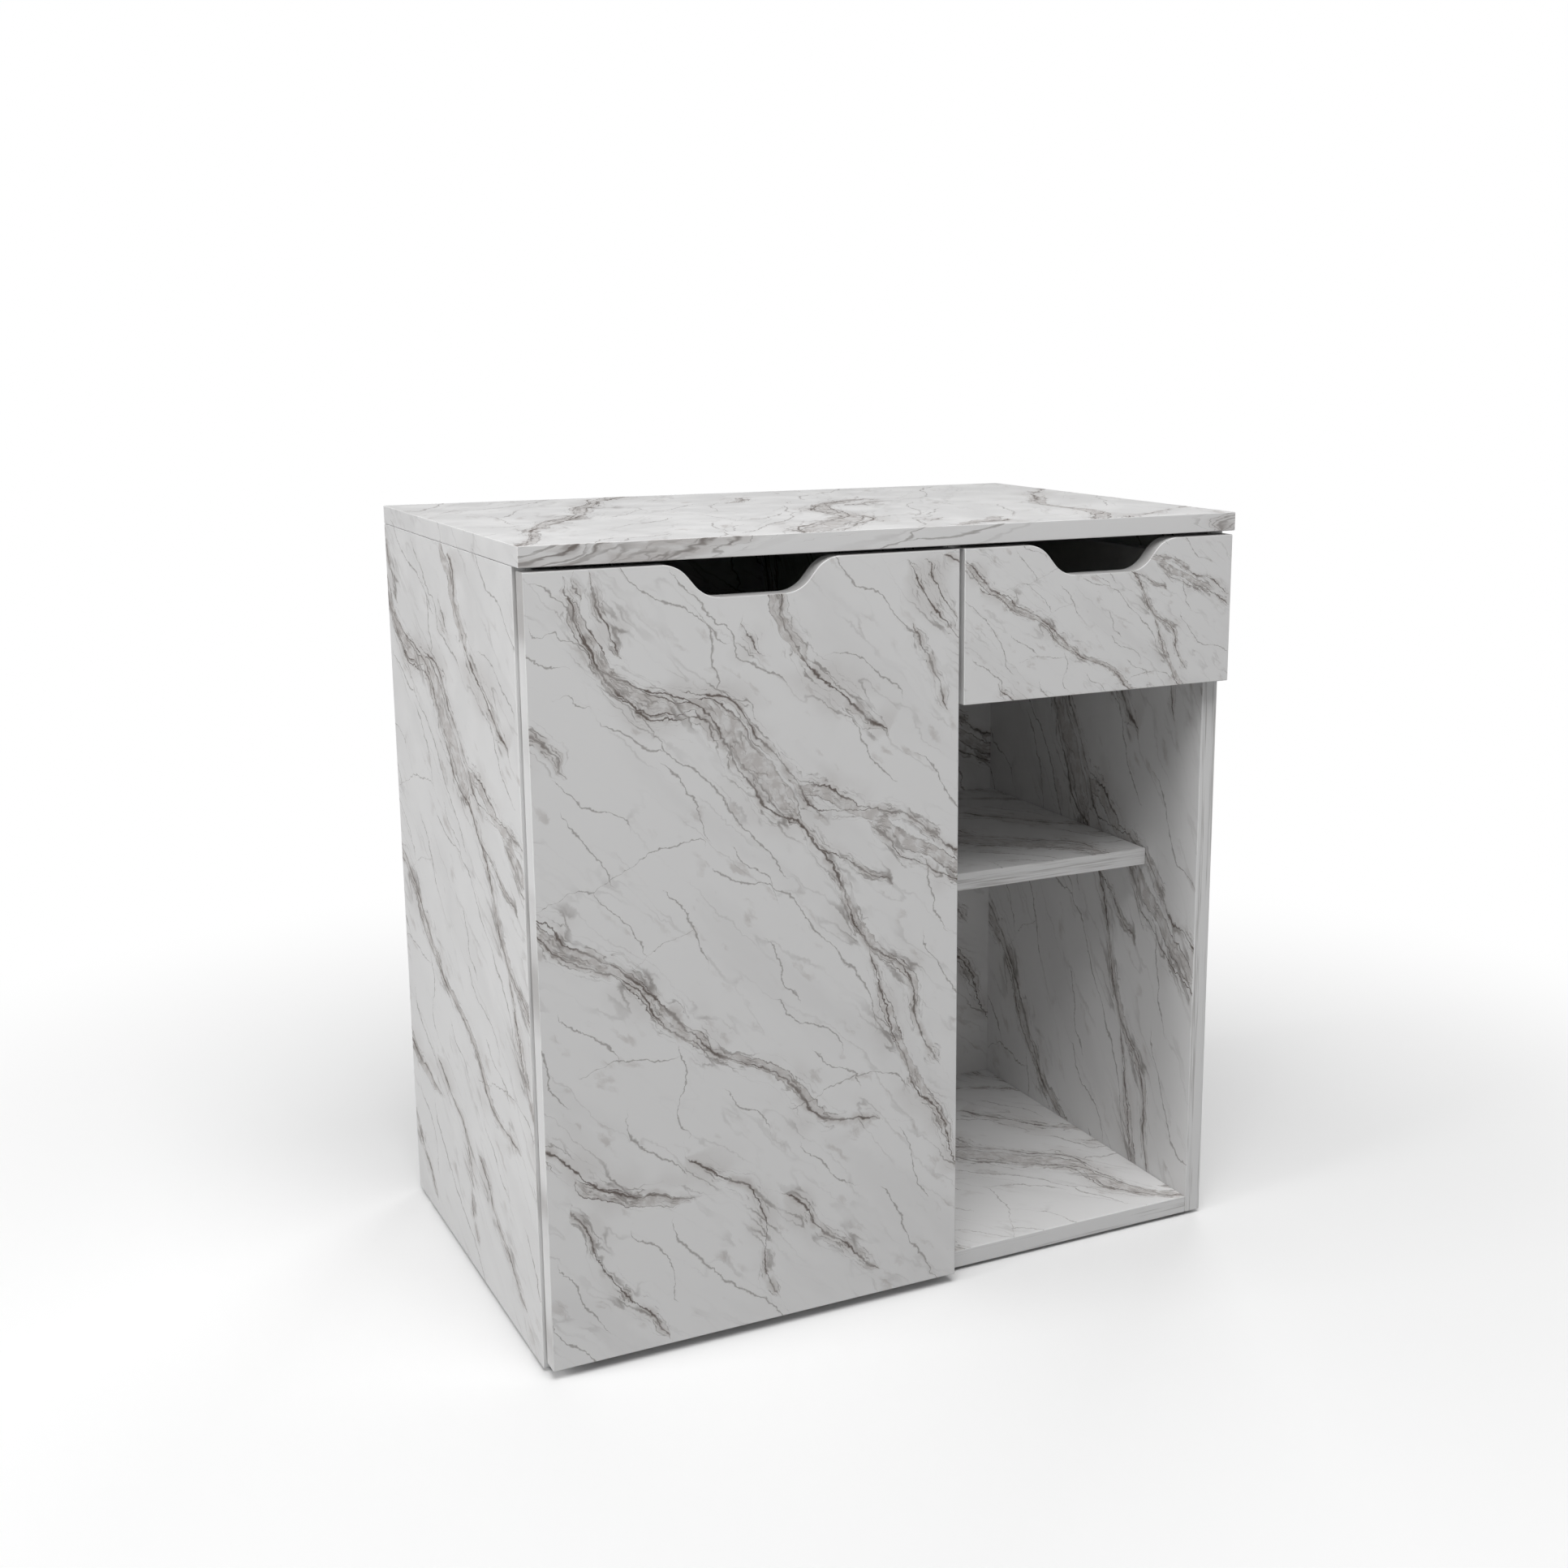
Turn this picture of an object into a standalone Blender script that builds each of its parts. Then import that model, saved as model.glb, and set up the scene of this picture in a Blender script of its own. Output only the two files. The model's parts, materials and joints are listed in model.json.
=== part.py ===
"""Bathroom vanity cabinet with a hinged door, a drawer and an open niche with a shelf.

Metres, +Z up, +X to the right and the front towards -Y.
The origin is on the floor, in the middle of the cabinet's width and depth.
"""

import math

import bmesh
import bpy
from mathutils import Matrix, Vector

# Carcass
WIDTH = 0.600
CARCASS_HEIGHT = 0.616
CARCASS_DEPTH = 0.368
BOARD = 0.015
BACK_BOARD = 0.005
TOP_OVERHANG = 0.0165
DIVIDER_FROM_LEFT = 0.345
REAR_RAIL_HEIGHT = 0.060
GROOVE_DEPTH = 0.0065
GLIDE_HEIGHT = 0.003
FIT = 0.0003
EDGE_ROUND = 0.0007
EDGE_SEGMENTS = 2
ROUND_SIDES = 24

# Door and drawer fronts
FRONT_BOARD = 0.015
FRONT_GAP = 0.002
SIDE_REVEAL = 0.0025
TOP_REVEAL = 0.003
BOTTOM_REVEAL = 0.005
FRONT_SPLIT = 0.0045
DRAWER_FRONT_HEIGHT = 0.1205
NOTCH_TOP_WIDTH = 0.140
NOTCH_FLOOR_WIDTH = 0.050
NOTCH_DEPTH = 0.025
NOTCH_SLOPE_SHARE = 0.87
NOTCH_ARC_STEPS = 8

# Niche and shelves
NICHE_TOP_OVERLAP = 0.004
NICHE_SHELF_TOP = 0.315
NICHE_SHELF_SETBACK = 0.074
DOOR_SHELF_TOP = 0.290
DOOR_SHELF_SETBACK = 0.040
SHELF_SIDE_GAP = 0.001
PIN_RADIUS = 0.0025
PIN_REACH = 0.008
PIN_COLLAR_RADIUS = 0.0045
PIN_COLLAR = 0.0012
PIN_WALL = 0.002
PIN_FROM_SHELF_END = 0.040

# Glides under the sides
GLIDE_RADIUS = 0.007
GLIDE_NAIL_RADIUS = 0.0012
GLIDE_NAIL_LENGTH = 0.012
GLIDE_FROM_END = 0.035

# Hinges
HINGE_FROM_END = 0.090
HINGE_OUT = 0.008
SWING_CLEARANCE = 0.0005
CUP_RADIUS = 0.0172
CUP_SHEET = 0.001
CUP_TAB = 0.004
CUP_FLOOR_WALL = 0.0035
CUP_FLANGE = 0.0008
CUP_FLANGE_WIDTH = 0.020
CUP_FLANGE_HEIGHT = 0.052
LINK_HALF_HEIGHT = 0.0045
LINK_WIDTH = 0.0035
LINK_FLOOR_ROOM = 0.0007
LINK_ARC_STEPS = 8
ARM_HALF_HEIGHT = 0.007
ARM_FLOOR_ROOM = 0.0012
ARM_NECK = 0.005
ARM_RISE = 0.008
ARM_END_FROM_FRONT = 0.054
PLATE_SHEET = 0.0025
PLATE_START = 0.020
PLATE_LENGTH = 0.040
PLATE_HALF_HEIGHT = 0.008
WING_LENGTH = 0.018
WING_HALF_HEIGHT = 0.025
BUMPER_RADIUS = 0.004
BUMPER_FROM_EDGE = 0.005
BUMPER_FROM_END = 0.030

# Drawer box and its telescopic slides
BOX_BOARD = 0.012
BOX_FLOOR = 0.005
BOX_FLOOR_RISE = 0.010
BOX_GROOVE = 0.006
BOX_BELOW = 0.0095
BOX_ABOVE = 0.019
BOX_REAR_ROOM = 0.020
SLIDE_THICKNESS = 0.0127
SLIDE_HEIGHT = 0.045
SLIDE_SHEET = 0.0012
SLIDE_BALL_GAP = 0.0005
SLIDE_STEP = 0.050
SLIDE_SETBACK = 0.002
SLIDE_ABOVE_BOX_BOTTOM = 0.030

# Cam fittings
CAM_RADIUS = 0.0075
CAM_WALL = 0.0022
CAM_REACH = 0.024
CAM_FROM_FRONT = 0.050
CAM_FROM_BACK = 0.065
CAM_LID = 0.0025
CAM_SLOT = 0.0012
BOLT_RADIUS = 0.0025
BOLT_HEAD_RADIUS = 0.0034
BOLT_HEAD = 0.003
BOLT_THREAD = 0.0105
BOLT_BORE_RADIUS = 0.0039

# Places that follow from the sizes above
LEFT = -WIDTH / 2
RIGHT = WIDTH / 2
FRONT_PROUD = FRONT_BOARD + FRONT_GAP
CARCASS_FRONT = (max(FRONT_PROUD, TOP_OVERHANG) - CARCASS_DEPTH) / 2
CARCASS_BACK = CARCASS_FRONT + CARCASS_DEPTH
BASE = GLIDE_HEIGHT
CARCASS_TOP = BASE + CARCASS_HEIGHT
UNDER_TOP = CARCASS_TOP - BOARD
ABOVE_BOTTOM = BASE + BOARD
INNER_LEFT = LEFT + BOARD
INNER_RIGHT = RIGHT - BOARD
DIVIDER_X = LEFT + DIVIDER_FROM_LEFT
DIVIDER_LEFT = DIVIDER_X - BOARD / 2
DIVIDER_RIGHT = DIVIDER_X + BOARD / 2
BACK_REAR = CARCASS_BACK - BOARD - FIT
BACK_FRONT = BACK_REAR - BACK_BOARD
FRONT_REAR_FACE = CARCASS_FRONT - FRONT_GAP
FRONT_TOP = UNDER_TOP - TOP_REVEAL
DOOR_LEFT = LEFT + SIDE_REVEAL
DOOR_RIGHT = DIVIDER_X - FRONT_SPLIT / 2
DOOR_BOTTOM = BASE + BOTTOM_REVEAL
DRAWER_LEFT = DIVIDER_X + FRONT_SPLIT / 2
DRAWER_RIGHT = RIGHT - SIDE_REVEAL
DRAWER_FRONT_BOTTOM = FRONT_TOP - DRAWER_FRONT_HEIGHT
NICHE_TOP_UNDER = DRAWER_FRONT_BOTTOM + NICHE_TOP_OVERLAP
NICHE_TOP_UPPER = NICHE_TOP_UNDER + BOARD
PIN_DEPTH = (BOARD - PIN_WALL) / 2 - FIT

# The pin line sits as far inside the door's edge as the swinging corner's clearance allows
HINGE_IN = math.sqrt((FRONT_GAP - SWING_CLEARANCE) * (2 * HINGE_OUT - SWING_CLEARANCE - FRONT_GAP))
HINGE_X = DOOR_LEFT + HINGE_IN
HINGE_Y = CARCASS_FRONT - HINGE_OUT
CORNER_SWING = math.hypot(HINGE_IN, HINGE_OUT - FRONT_GAP)
PANEL_FACE = INNER_LEFT - HINGE_X
DOOR_FACE = HINGE_OUT - FRONT_GAP
CUP_X = CUP_RADIUS + FIT + CUP_TAB - HINGE_IN
CUP_BORE_FLOOR = DOOR_FACE - (FRONT_BOARD - CUP_FLOOR_WALL)
NECK_X = max(PANEL_FACE + 0.001, CORNER_SWING + 0.0015)
LINK_INNER = NECK_X - 0.0007
LINK_OUTER = LINK_INNER + LINK_WIDTH
LINK_END = math.asin((HINGE_OUT - SWING_CLEARANCE) / LINK_OUTER)
CUP_FLOOR = CUP_BORE_FLOOR + FIT + CUP_SHEET
LINK_START = math.asin((CUP_FLOOR + LINK_FLOOR_ROOM) / LINK_OUTER)
ARM_TIP = CUP_FLOOR + ARM_FLOOR_ROOM
HINGE_HEIGHTS = {"lower": DOOR_BOTTOM + HINGE_FROM_END, "upper": FRONT_TOP - HINGE_FROM_END}

BOX_LEFT = DIVIDER_RIGHT + SLIDE_THICKNESS
BOX_RIGHT = INNER_RIGHT - SLIDE_THICKNESS
BOX_BOTTOM = NICHE_TOP_UPPER + BOX_BELOW
BOX_TOP = UNDER_TOP - BOX_ABOVE
BOX_START = FRONT_REAR_FACE + FIT
BOX_INSIDE_DEPTH = BACK_FRONT - CARCASS_FRONT
SLIDE_LENGTH = math.floor((BOX_INSIDE_DEPTH - BOX_REAR_ROOM) / SLIDE_STEP) * SLIDE_STEP
SLIDE_START = CARCASS_FRONT + SLIDE_SETBACK
BOX_END = SLIDE_START + SLIDE_LENGTH
SLIDE_Z = BOX_BOTTOM + SLIDE_ABOVE_BOX_BOTTOM
BOX_FLOOR_Z = BOX_BOTTOM + BOX_FLOOR_RISE

MARBLE = ("marble_laminate", (0.83, 0.83, 0.84), 0.35, 0.0)
BOX_LAMINATE = ("white_laminate", (0.80, 0.80, 0.80), 0.45, 0.0)
STEEL = ("nickel_plated_steel", (0.62, 0.62, 0.63), 0.3, 1.0)
ZINC = ("zinc_plated_steel", (0.52, 0.53, 0.55), 0.38, 1.0)
PLASTIC = ("white_plastic", (0.75, 0.75, 0.74), 0.4, 0.0)
PAD = ("clear_pad", (0.70, 0.71, 0.72), 0.25, 0.0)


def clear_scene():
    for item in list(bpy.data.objects):
        bpy.data.objects.remove(item, do_unlink=True)


def material(name, look):
    kind, colour, roughness, metallic = look
    made = bpy.data.materials.new(f"{name}_{kind}")
    made.use_nodes = True
    shader = made.node_tree.nodes["Principled BSDF"]
    shader.inputs["Base Color"].default_value = (*colour, 1)
    shader.inputs["Roughness"].default_value = roughness
    shader.inputs["Metallic"].default_value = metallic
    made.diffuse_color = (*colour, 1)
    return made


def add_object(name, mesh, look=None):
    """A named object for a mesh, with its own material, or a hidden cutter when it has no look."""
    made = bpy.data.objects.new(name, mesh)
    bpy.context.scene.collection.objects.link(made)
    if look:
        mesh.materials.append(material(name, look))
    else:
        made.hide_render = True
        made.display_type = "WIRE"
    return made


def box_mesh(name, low, high):
    """A box centred on the mesh origin."""
    shape = bmesh.new()
    bmesh.ops.create_cube(shape, size=1)
    bmesh.ops.scale(shape, vec=Vector(high) - Vector(low), verts=shape.verts)
    mesh = bpy.data.meshes.new(name)
    shape.to_mesh(mesh)
    shape.free()
    return mesh


def box(name, low, high, look=None):
    made = add_object(name, box_mesh(name, low, high), look)
    made.location = (Vector(low) + Vector(high)) / 2
    return made


def prism_mesh(name, outline, length):
    """An outline in the mesh's XY plane, extruded along +Z from 0 to length."""
    shape = bmesh.new()
    face = shape.faces.new([shape.verts.new((x, y, 0)) for x, y in outline])
    grown = bmesh.ops.extrude_face_region(shape, geom=[face])["geom"]
    lifted = [item for item in grown if isinstance(item, bmesh.types.BMVert)]
    bmesh.ops.translate(shape, vec=(0, 0, length), verts=lifted)
    bmesh.ops.recalc_face_normals(shape, faces=shape.faces)
    mesh = bpy.data.meshes.new(name)
    shape.to_mesh(mesh)
    shape.free()
    return mesh


def circle(radius, sides=ROUND_SIDES):
    steps = [2 * math.pi * i / sides for i in range(sides)]
    return [(radius * math.cos(a), radius * math.sin(a)) for a in steps]


def turned_mesh(name, profile, sides=ROUND_SIDES):
    """A solid turned about +Z from (radius, height) steps, listed from the bottom up."""
    shape = bmesh.new()
    rings = []
    for radius, height in profile:
        rings.append([shape.verts.new((x, y, height)) for x, y in circle(radius, sides)])
    for lower, upper in zip(rings, rings[1:]):
        for i in range(sides):
            j = (i + 1) % sides
            shape.faces.new((lower[i], lower[j], upper[j], upper[i]))
    shape.faces.new(reversed(rings[0]))
    shape.faces.new(rings[-1])
    mesh = bpy.data.meshes.new(name)
    shape.to_mesh(mesh)
    shape.free()
    mesh.shade_smooth()
    mesh.set_sharp_from_angle(angle=math.radians(35))
    return mesh


def facing(direction, up=(0, 0, 1)):
    """A turn that sends +Z to direction and +X as near as it can to up."""
    z = Vector(direction).normalized()
    x = (Vector(up) - z * Vector(up).dot(z)).normalized()
    return Matrix((x, z.cross(x), z)).transposed()


def place(made, position, turn=None):
    made.matrix_world = Matrix.Translation(position) @ (turn or Matrix.Identity(3)).to_4x4()
    return made


def soften(made):
    """Rounds a board's long edges as its banding is."""
    bevel = made.modifiers.new("edge_round", "BEVEL")
    bevel.width = EDGE_ROUND
    bevel.segments = EDGE_SEGMENTS
    bevel.limit_method = "ANGLE"
    bevel.angle_limit = math.radians(40)
    return made


def boolean(made, other, operation="DIFFERENCE"):
    """Cuts or joins one mesh with another, which stays as a hidden helper."""
    step = made.modifiers.new(other.name, "BOOLEAN")
    step.operation = operation
    step.object = other
    step.solver = "EXACT"


def board(name, low, high, look=MARBLE):
    return soften(box(name, low, high, look))


def groove(made, low, high):
    boolean(made, box(f"{made.name}_groove", low, high))


def make_top():
    front = CARCASS_FRONT - TOP_OVERHANG
    return board("top_panel", (LEFT, front, UNDER_TOP), (RIGHT, CARCASS_BACK, CARCASS_TOP))


def make_sides():
    top = UNDER_TOP - FIT
    left = board("left_side_panel", (LEFT, CARCASS_FRONT, BASE), (INNER_LEFT, CARCASS_BACK, top))
    right = board("right_side_panel", (INNER_RIGHT, CARCASS_FRONT, BASE), (RIGHT, CARCASS_BACK, top))
    return left, right


def make_bottom():
    low = (INNER_LEFT + FIT, CARCASS_FRONT, BASE)
    return board("bottom_panel", low, (INNER_RIGHT - FIT, CARCASS_BACK, ABOVE_BOTTOM))


def make_divider():
    low = (DIVIDER_LEFT, CARCASS_FRONT, ABOVE_BOTTOM + FIT)
    return board("divider_panel", low, (DIVIDER_RIGHT, BACK_FRONT - FIT, UNDER_TOP - FIT))


def make_niche_top():
    low = (DIVIDER_RIGHT + FIT, CARCASS_FRONT, NICHE_TOP_UNDER)
    board("niche_top_panel", low, (INNER_RIGHT - FIT, BACK_FRONT - FIT, NICHE_TOP_UPPER))


def make_rear_rail():
    low = (INNER_LEFT + FIT, CARCASS_BACK - BOARD, UNDER_TOP - FIT - REAR_RAIL_HEIGHT)
    board("rear_rail", low, (INNER_RIGHT - FIT, CARCASS_BACK, UNDER_TOP - FIT))


def make_back(top, left, right, bottom):
    """A thin back that slides in grooves round the carcass, in front of the rear rail."""
    reach = GROOVE_DEPTH - FIT
    low = (INNER_LEFT - reach, BACK_FRONT, ABOVE_BOTTOM - reach)
    high = (INNER_RIGHT + reach, BACK_REAR, UNDER_TOP + reach)
    box("back_panel", low, high, MARBLE)
    spread = FIT + BOARD
    front = BACK_FRONT - FIT
    rear = BACK_REAR + FIT
    deep_left = INNER_LEFT - GROOVE_DEPTH
    deep_right = INNER_RIGHT + GROOVE_DEPTH
    deep_low = ABOVE_BOTTOM - GROOVE_DEPTH
    deep_high = UNDER_TOP + GROOVE_DEPTH
    groove(left, (deep_left, front, deep_low), (INNER_LEFT + spread, rear, UNDER_TOP + spread))
    groove(right, (INNER_RIGHT - spread, front, deep_low), (deep_right, rear, UNDER_TOP + spread))
    groove(bottom, (LEFT, front, deep_low), (RIGHT, rear, ABOVE_BOTTOM + spread))
    groove(top, (deep_left, front, UNDER_TOP - spread), (deep_right, rear, deep_high))


def pin_mesh():
    tip = PIN_RADIUS * 0.7
    collar = -PIN_COLLAR - FIT
    return turned_mesh(
        "shelf_pin",
        [
            (tip, -PIN_REACH),
            (PIN_RADIUS, -PIN_REACH + PIN_RADIUS - tip),
            (PIN_RADIUS, collar),
            (PIN_COLLAR_RADIUS, collar),
            (PIN_COLLAR_RADIUS, -FIT),
            (PIN_RADIUS, -FIT),
            (PIN_RADIUS, PIN_DEPTH - PIN_RADIUS + tip),
            (tip, PIN_DEPTH),
        ],
        ROUND_SIDES // 2,
    )


def make_shelf(name, left, right, top, setback):
    """A loose shelf on four pins, two in each of the panels (object, inner face x) beside it."""
    front = CARCASS_FRONT + setback
    rear = BACK_FRONT - FIT
    low = (left[1] + SHELF_SIDE_GAP, front, top - BOARD)
    shelf = board(f"{name}_shelf", low, (right[1] - SHELF_SIDE_GAP, rear, top))
    collar_drop = PIN_COLLAR_RADIUS - PIN_RADIUS
    z = top - BOARD - FIT - PIN_RADIUS
    for side, (panel, face), out in (("left", left, -1), ("right", right, 1)):
        for end, y in (("front", front + PIN_FROM_SHELF_END), ("rear", rear - PIN_FROM_SHELF_END)):
            label = f"{name}_shelf_pin_{side}_{end}"
            turn = facing((out, 0, 0))
            place(add_object(label, pin_mesh(), PLASTIC), (face, y, z), turn)
            hole = prism_mesh(label, circle(PIN_RADIUS + FIT), PIN_DEPTH + FIT + BOARD)
            start = (face - out * BOARD, y, z)
            boolean(panel, place(add_object(f"{label}_hole", hole), start, turn))
            relief = box(
                f"{label}_relief",
                (face - PIN_REACH, y - PIN_COLLAR_RADIUS - FIT, z),
                (face + PIN_REACH, y + PIN_COLLAR_RADIUS + FIT, z + PIN_RADIUS + collar_drop + 2 * FIT),
            )
            boolean(shelf, relief)


def glide_mesh():
    return turned_mesh(
        "glide",
        [
            (GLIDE_RADIUS * 0.8, 0),
            (GLIDE_RADIUS, GLIDE_HEIGHT * 0.4),
            (GLIDE_RADIUS, GLIDE_HEIGHT - FIT),
            (GLIDE_NAIL_RADIUS, GLIDE_HEIGHT - FIT),
            (GLIDE_NAIL_RADIUS, GLIDE_HEIGHT + GLIDE_NAIL_LENGTH),
        ],
        ROUND_SIDES,
    )


def make_glides(left, right):
    """Nail-on plastic glides under the ends of both sides."""
    ends = {"front": CARCASS_FRONT + GLIDE_FROM_END, "rear": CARCASS_BACK - GLIDE_FROM_END}
    for side, panel, x in (("left", left, LEFT + BOARD / 2), ("right", right, RIGHT - BOARD / 2)):
        for end, y in ends.items():
            label = f"glide_{side}_{end}"
            place(add_object(label, glide_mesh(), PLASTIC), (x, y, 0))
            depth = GLIDE_NAIL_LENGTH + FIT
            hole = prism_mesh(label, circle(GLIDE_NAIL_RADIUS + FIT, 12), depth + GLIDE_HEIGHT)
            boolean(panel, place(add_object(f"{label}_hole", hole), (x, y, 0)))


def notch_side(run, depth):
    """Points down one side of the finger notch: a rounded shoulder, a short slope and a fillet."""
    slope = NOTCH_SLOPE_SHARE * 2 * math.atan2(depth, run)
    radius = (run * math.sin(slope) - depth * math.cos(slope)) / (1 - math.cos(slope)) / 2
    steps = [slope * i / NOTCH_ARC_STEPS for i in range(NOTCH_ARC_STEPS + 1)]
    shoulder = [(radius * math.sin(a), radius * (math.cos(a) - 1)) for a in steps]
    fillet = [(run - x, -depth - z) for x, z in reversed(shoulder)]
    return shoulder + fillet


def front_outline(left, right, bottom, top):
    """A front's outline with the finger notch in the middle of its top edge."""
    middle = (left + right) / 2
    half_top = NOTCH_TOP_WIDTH / 2
    side = notch_side(half_top - NOTCH_FLOOR_WIDTH / 2, NOTCH_DEPTH)
    going_down = [(middle - half_top + x, top + z) for x, z in side]
    going_up = [(2 * middle - x, z) for x, z in reversed(going_down)]
    return [(left, bottom), (left, top), *going_down, *going_up, (right, top), (right, bottom)]


def make_front(name, left, right, bottom):
    outline = front_outline(left, right, bottom, FRONT_TOP)
    made = add_object(name, prism_mesh(name, outline, FRONT_BOARD), MARBLE)
    turn = Matrix(((1, 0, 0), (0, 0, -1), (0, 1, 0)))
    place(made, (0, FRONT_REAR_FACE, 0), turn)
    return soften(made)


def hinge_place(height):
    return Vector((HINGE_X, HINGE_Y, height))


def make_hinge_cup(end, door):
    """A pressed cup with a screw flange, let into a bore in the door's back."""
    at = hinge_place(HINGE_HEIGHTS[end]) + Vector((CUP_X, 0, 0))
    inwards = facing((0, 1, 0))
    rim = DOOR_FACE + FIT + CUP_FLANGE
    floor = CUP_BORE_FLOOR + FIT
    low = Vector((0, floor, 0))
    cup = add_object(f"hinge_cup_{end}", prism_mesh("cup", circle(CUP_RADIUS), rim - floor), STEEL)
    place(cup, at + low, inwards)
    half = Vector((CUP_FLANGE_WIDTH / 2, 0, CUP_FLANGE_HEIGHT / 2))
    flange_low = at - half + Vector((0, DOOR_FACE + FIT, 0))
    flange_high = at + half + Vector((0, rim, 0))
    boolean(cup, box(f"{cup.name}_flange", flange_low, flange_high), "UNION")
    hollow = prism_mesh("hollow", circle(CUP_RADIUS - CUP_SHEET), rim - floor)
    start = at + low + Vector((0, CUP_SHEET, 0))
    boolean(cup, place(add_object(f"{cup.name}_hollow", hollow), start, inwards))
    bore = prism_mesh("bore", circle(CUP_RADIUS + FIT), FRONT_BOARD)
    start = at + Vector((0, CUP_BORE_FLOOR, 0))
    boolean(door, place(add_object(f"{cup.name}_bore", bore), start, inwards))


def make_hinge_link(end):
    """The link between arm and cup: a curved bar that turns about the door's pin line."""
    step = (LINK_END - LINK_START) / LINK_ARC_STEPS
    steps = [LINK_START + step * i for i in range(LINK_ARC_STEPS + 1)]
    outer = [(LINK_OUTER * math.cos(a), LINK_OUTER * math.sin(a)) for a in steps]
    inner = [(LINK_INNER * math.cos(a), LINK_INNER * math.sin(a)) for a in reversed(steps)]
    link = add_object(f"hinge_link_{end}", prism_mesh("link", outer + inner, 2 * LINK_HALF_HEIGHT), STEEL)
    place(link, hinge_place(HINGE_HEIGHTS[end] - LINK_HALF_HEIGHT))


def make_hinge_arm(end):
    """The arm: a body over the plate, and a neck that forks round the link inside the cup."""
    at = hinge_place(HINGE_HEIGHTS[end])
    seat = PANEL_FACE + 2 * FIT + PLATE_SHEET
    tail = HINGE_OUT + ARM_END_FROM_FRONT
    shoulder = HINGE_OUT + ARM_NECK
    outline = [
        (NECK_X, ARM_TIP),
        (NECK_X + ARM_NECK, ARM_TIP),
        (NECK_X + ARM_NECK, shoulder - ARM_NECK / 2),
        (seat + ARM_RISE, shoulder + ARM_NECK),
        (seat + ARM_RISE, tail),
        (seat, tail),
        (seat, shoulder + ARM_NECK),
        (NECK_X, shoulder),
    ]
    arm = add_object(f"hinge_arm_{end}", prism_mesh("arm", outline, 2 * ARM_HALF_HEIGHT), STEEL)
    place(arm, at - Vector((0, 0, ARM_HALF_HEIGHT)))
    half = LINK_HALF_HEIGHT + FIT
    low = at + Vector((0, ARM_TIP - FIT, -half))
    high = at + Vector((seat + ARM_RISE, HINGE_OUT + SWING_CLEARANCE, half))
    boolean(arm, box(f"{arm.name}_fork", low, high))


def make_hinge_plate(end):
    """The cross-shaped mounting plate on the left side's inner face."""
    start = CARCASS_FRONT + PLATE_START
    wing = start + (PLATE_LENGTH - WING_LENGTH) / 2
    z = HINGE_HEIGHTS[end]
    half = PLATE_HALF_HEIGHT
    tall = WING_HALF_HEIGHT
    outline = [
        (start, z - half),
        (wing, z - half),
        (wing, z - tall),
        (wing + WING_LENGTH, z - tall),
        (wing + WING_LENGTH, z - half),
        (start + PLATE_LENGTH, z - half),
        (start + PLATE_LENGTH, z + half),
        (wing + WING_LENGTH, z + half),
        (wing + WING_LENGTH, z + tall),
        (wing, z + tall),
        (wing, z + half),
        (start, z + half),
    ]
    plate = add_object(f"hinge_plate_{end}", prism_mesh("plate", outline, PLATE_SHEET), STEEL)
    turn = Matrix(((0, 0, 1), (1, 0, 0), (0, 1, 0)))
    place(plate, (INNER_LEFT + FIT, 0, 0), turn)


def make_bumpers():
    """Soft pads on the door's back, where its free edge closes on the divider."""
    thickness = FRONT_GAP - 2 * FIT
    x = DOOR_RIGHT - BUMPER_FROM_EDGE
    heights = {"lower": DOOR_BOTTOM + BUMPER_FROM_END, "upper": FRONT_TOP - BUMPER_FROM_END}
    for end, z in heights.items():
        profile = [(BUMPER_RADIUS, 0), (BUMPER_RADIUS, thickness / 2), (BUMPER_RADIUS * 0.8, thickness)]
        pad = add_object(f"door_bumper_{end}", turned_mesh("bumper", profile, 16), PAD)
        place(pad, (x, FRONT_REAR_FACE + FIT, z), facing((0, 1, 0)))


def make_door():
    door = make_front("door_panel", DOOR_LEFT, DOOR_RIGHT, DOOR_BOTTOM)
    for end in HINGE_HEIGHTS:
        make_hinge_cup(end, door)
        make_hinge_link(end)
        make_hinge_arm(end)
        make_hinge_plate(end)
    make_bumpers()


def make_drawer_box(front):
    """A floor in grooves between two sides, with the back standing on it."""
    inner_left = BOX_LEFT + BOX_BOARD
    inner_right = BOX_RIGHT - BOX_BOARD
    reach = BOX_GROOVE - FIT
    floor_top = BOX_FLOOR_Z + BOX_FLOOR
    low = (inner_left - reach, FRONT_REAR_FACE - reach, BOX_FLOOR_Z)
    box("drawer_bottom", low, (inner_right + reach, BOX_END, floor_top), BOX_LAMINATE)
    spans = {"left": (BOX_LEFT, inner_left), "right": (inner_right, BOX_RIGHT)}
    for side, (x0, x1) in spans.items():
        name = f"drawer_{side}_side"
        made = board(name, (x0, BOX_START, BOX_BOTTOM), (x1, BOX_END, BOX_TOP), BOX_LAMINATE)
        slot_low = (inner_left - BOX_GROOVE, BOX_START - BOX_BOARD, BOX_FLOOR_Z - FIT)
        slot_high = (inner_right + BOX_GROOVE, BOX_END + BOX_BOARD, floor_top + FIT)
        groove(made, slot_low, slot_high)
    low = (inner_left - BOX_GROOVE, FRONT_REAR_FACE - BOX_GROOVE, BOX_FLOOR_Z - FIT)
    groove(front, low, (inner_right + BOX_GROOVE, BOX_END, floor_top + FIT))
    low = (inner_left + FIT, BOX_END - BOX_BOARD, floor_top + FIT)
    board("drawer_back", low, (inner_right - FIT, BOX_END, BOX_TOP), BOX_LAMINATE)


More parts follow.
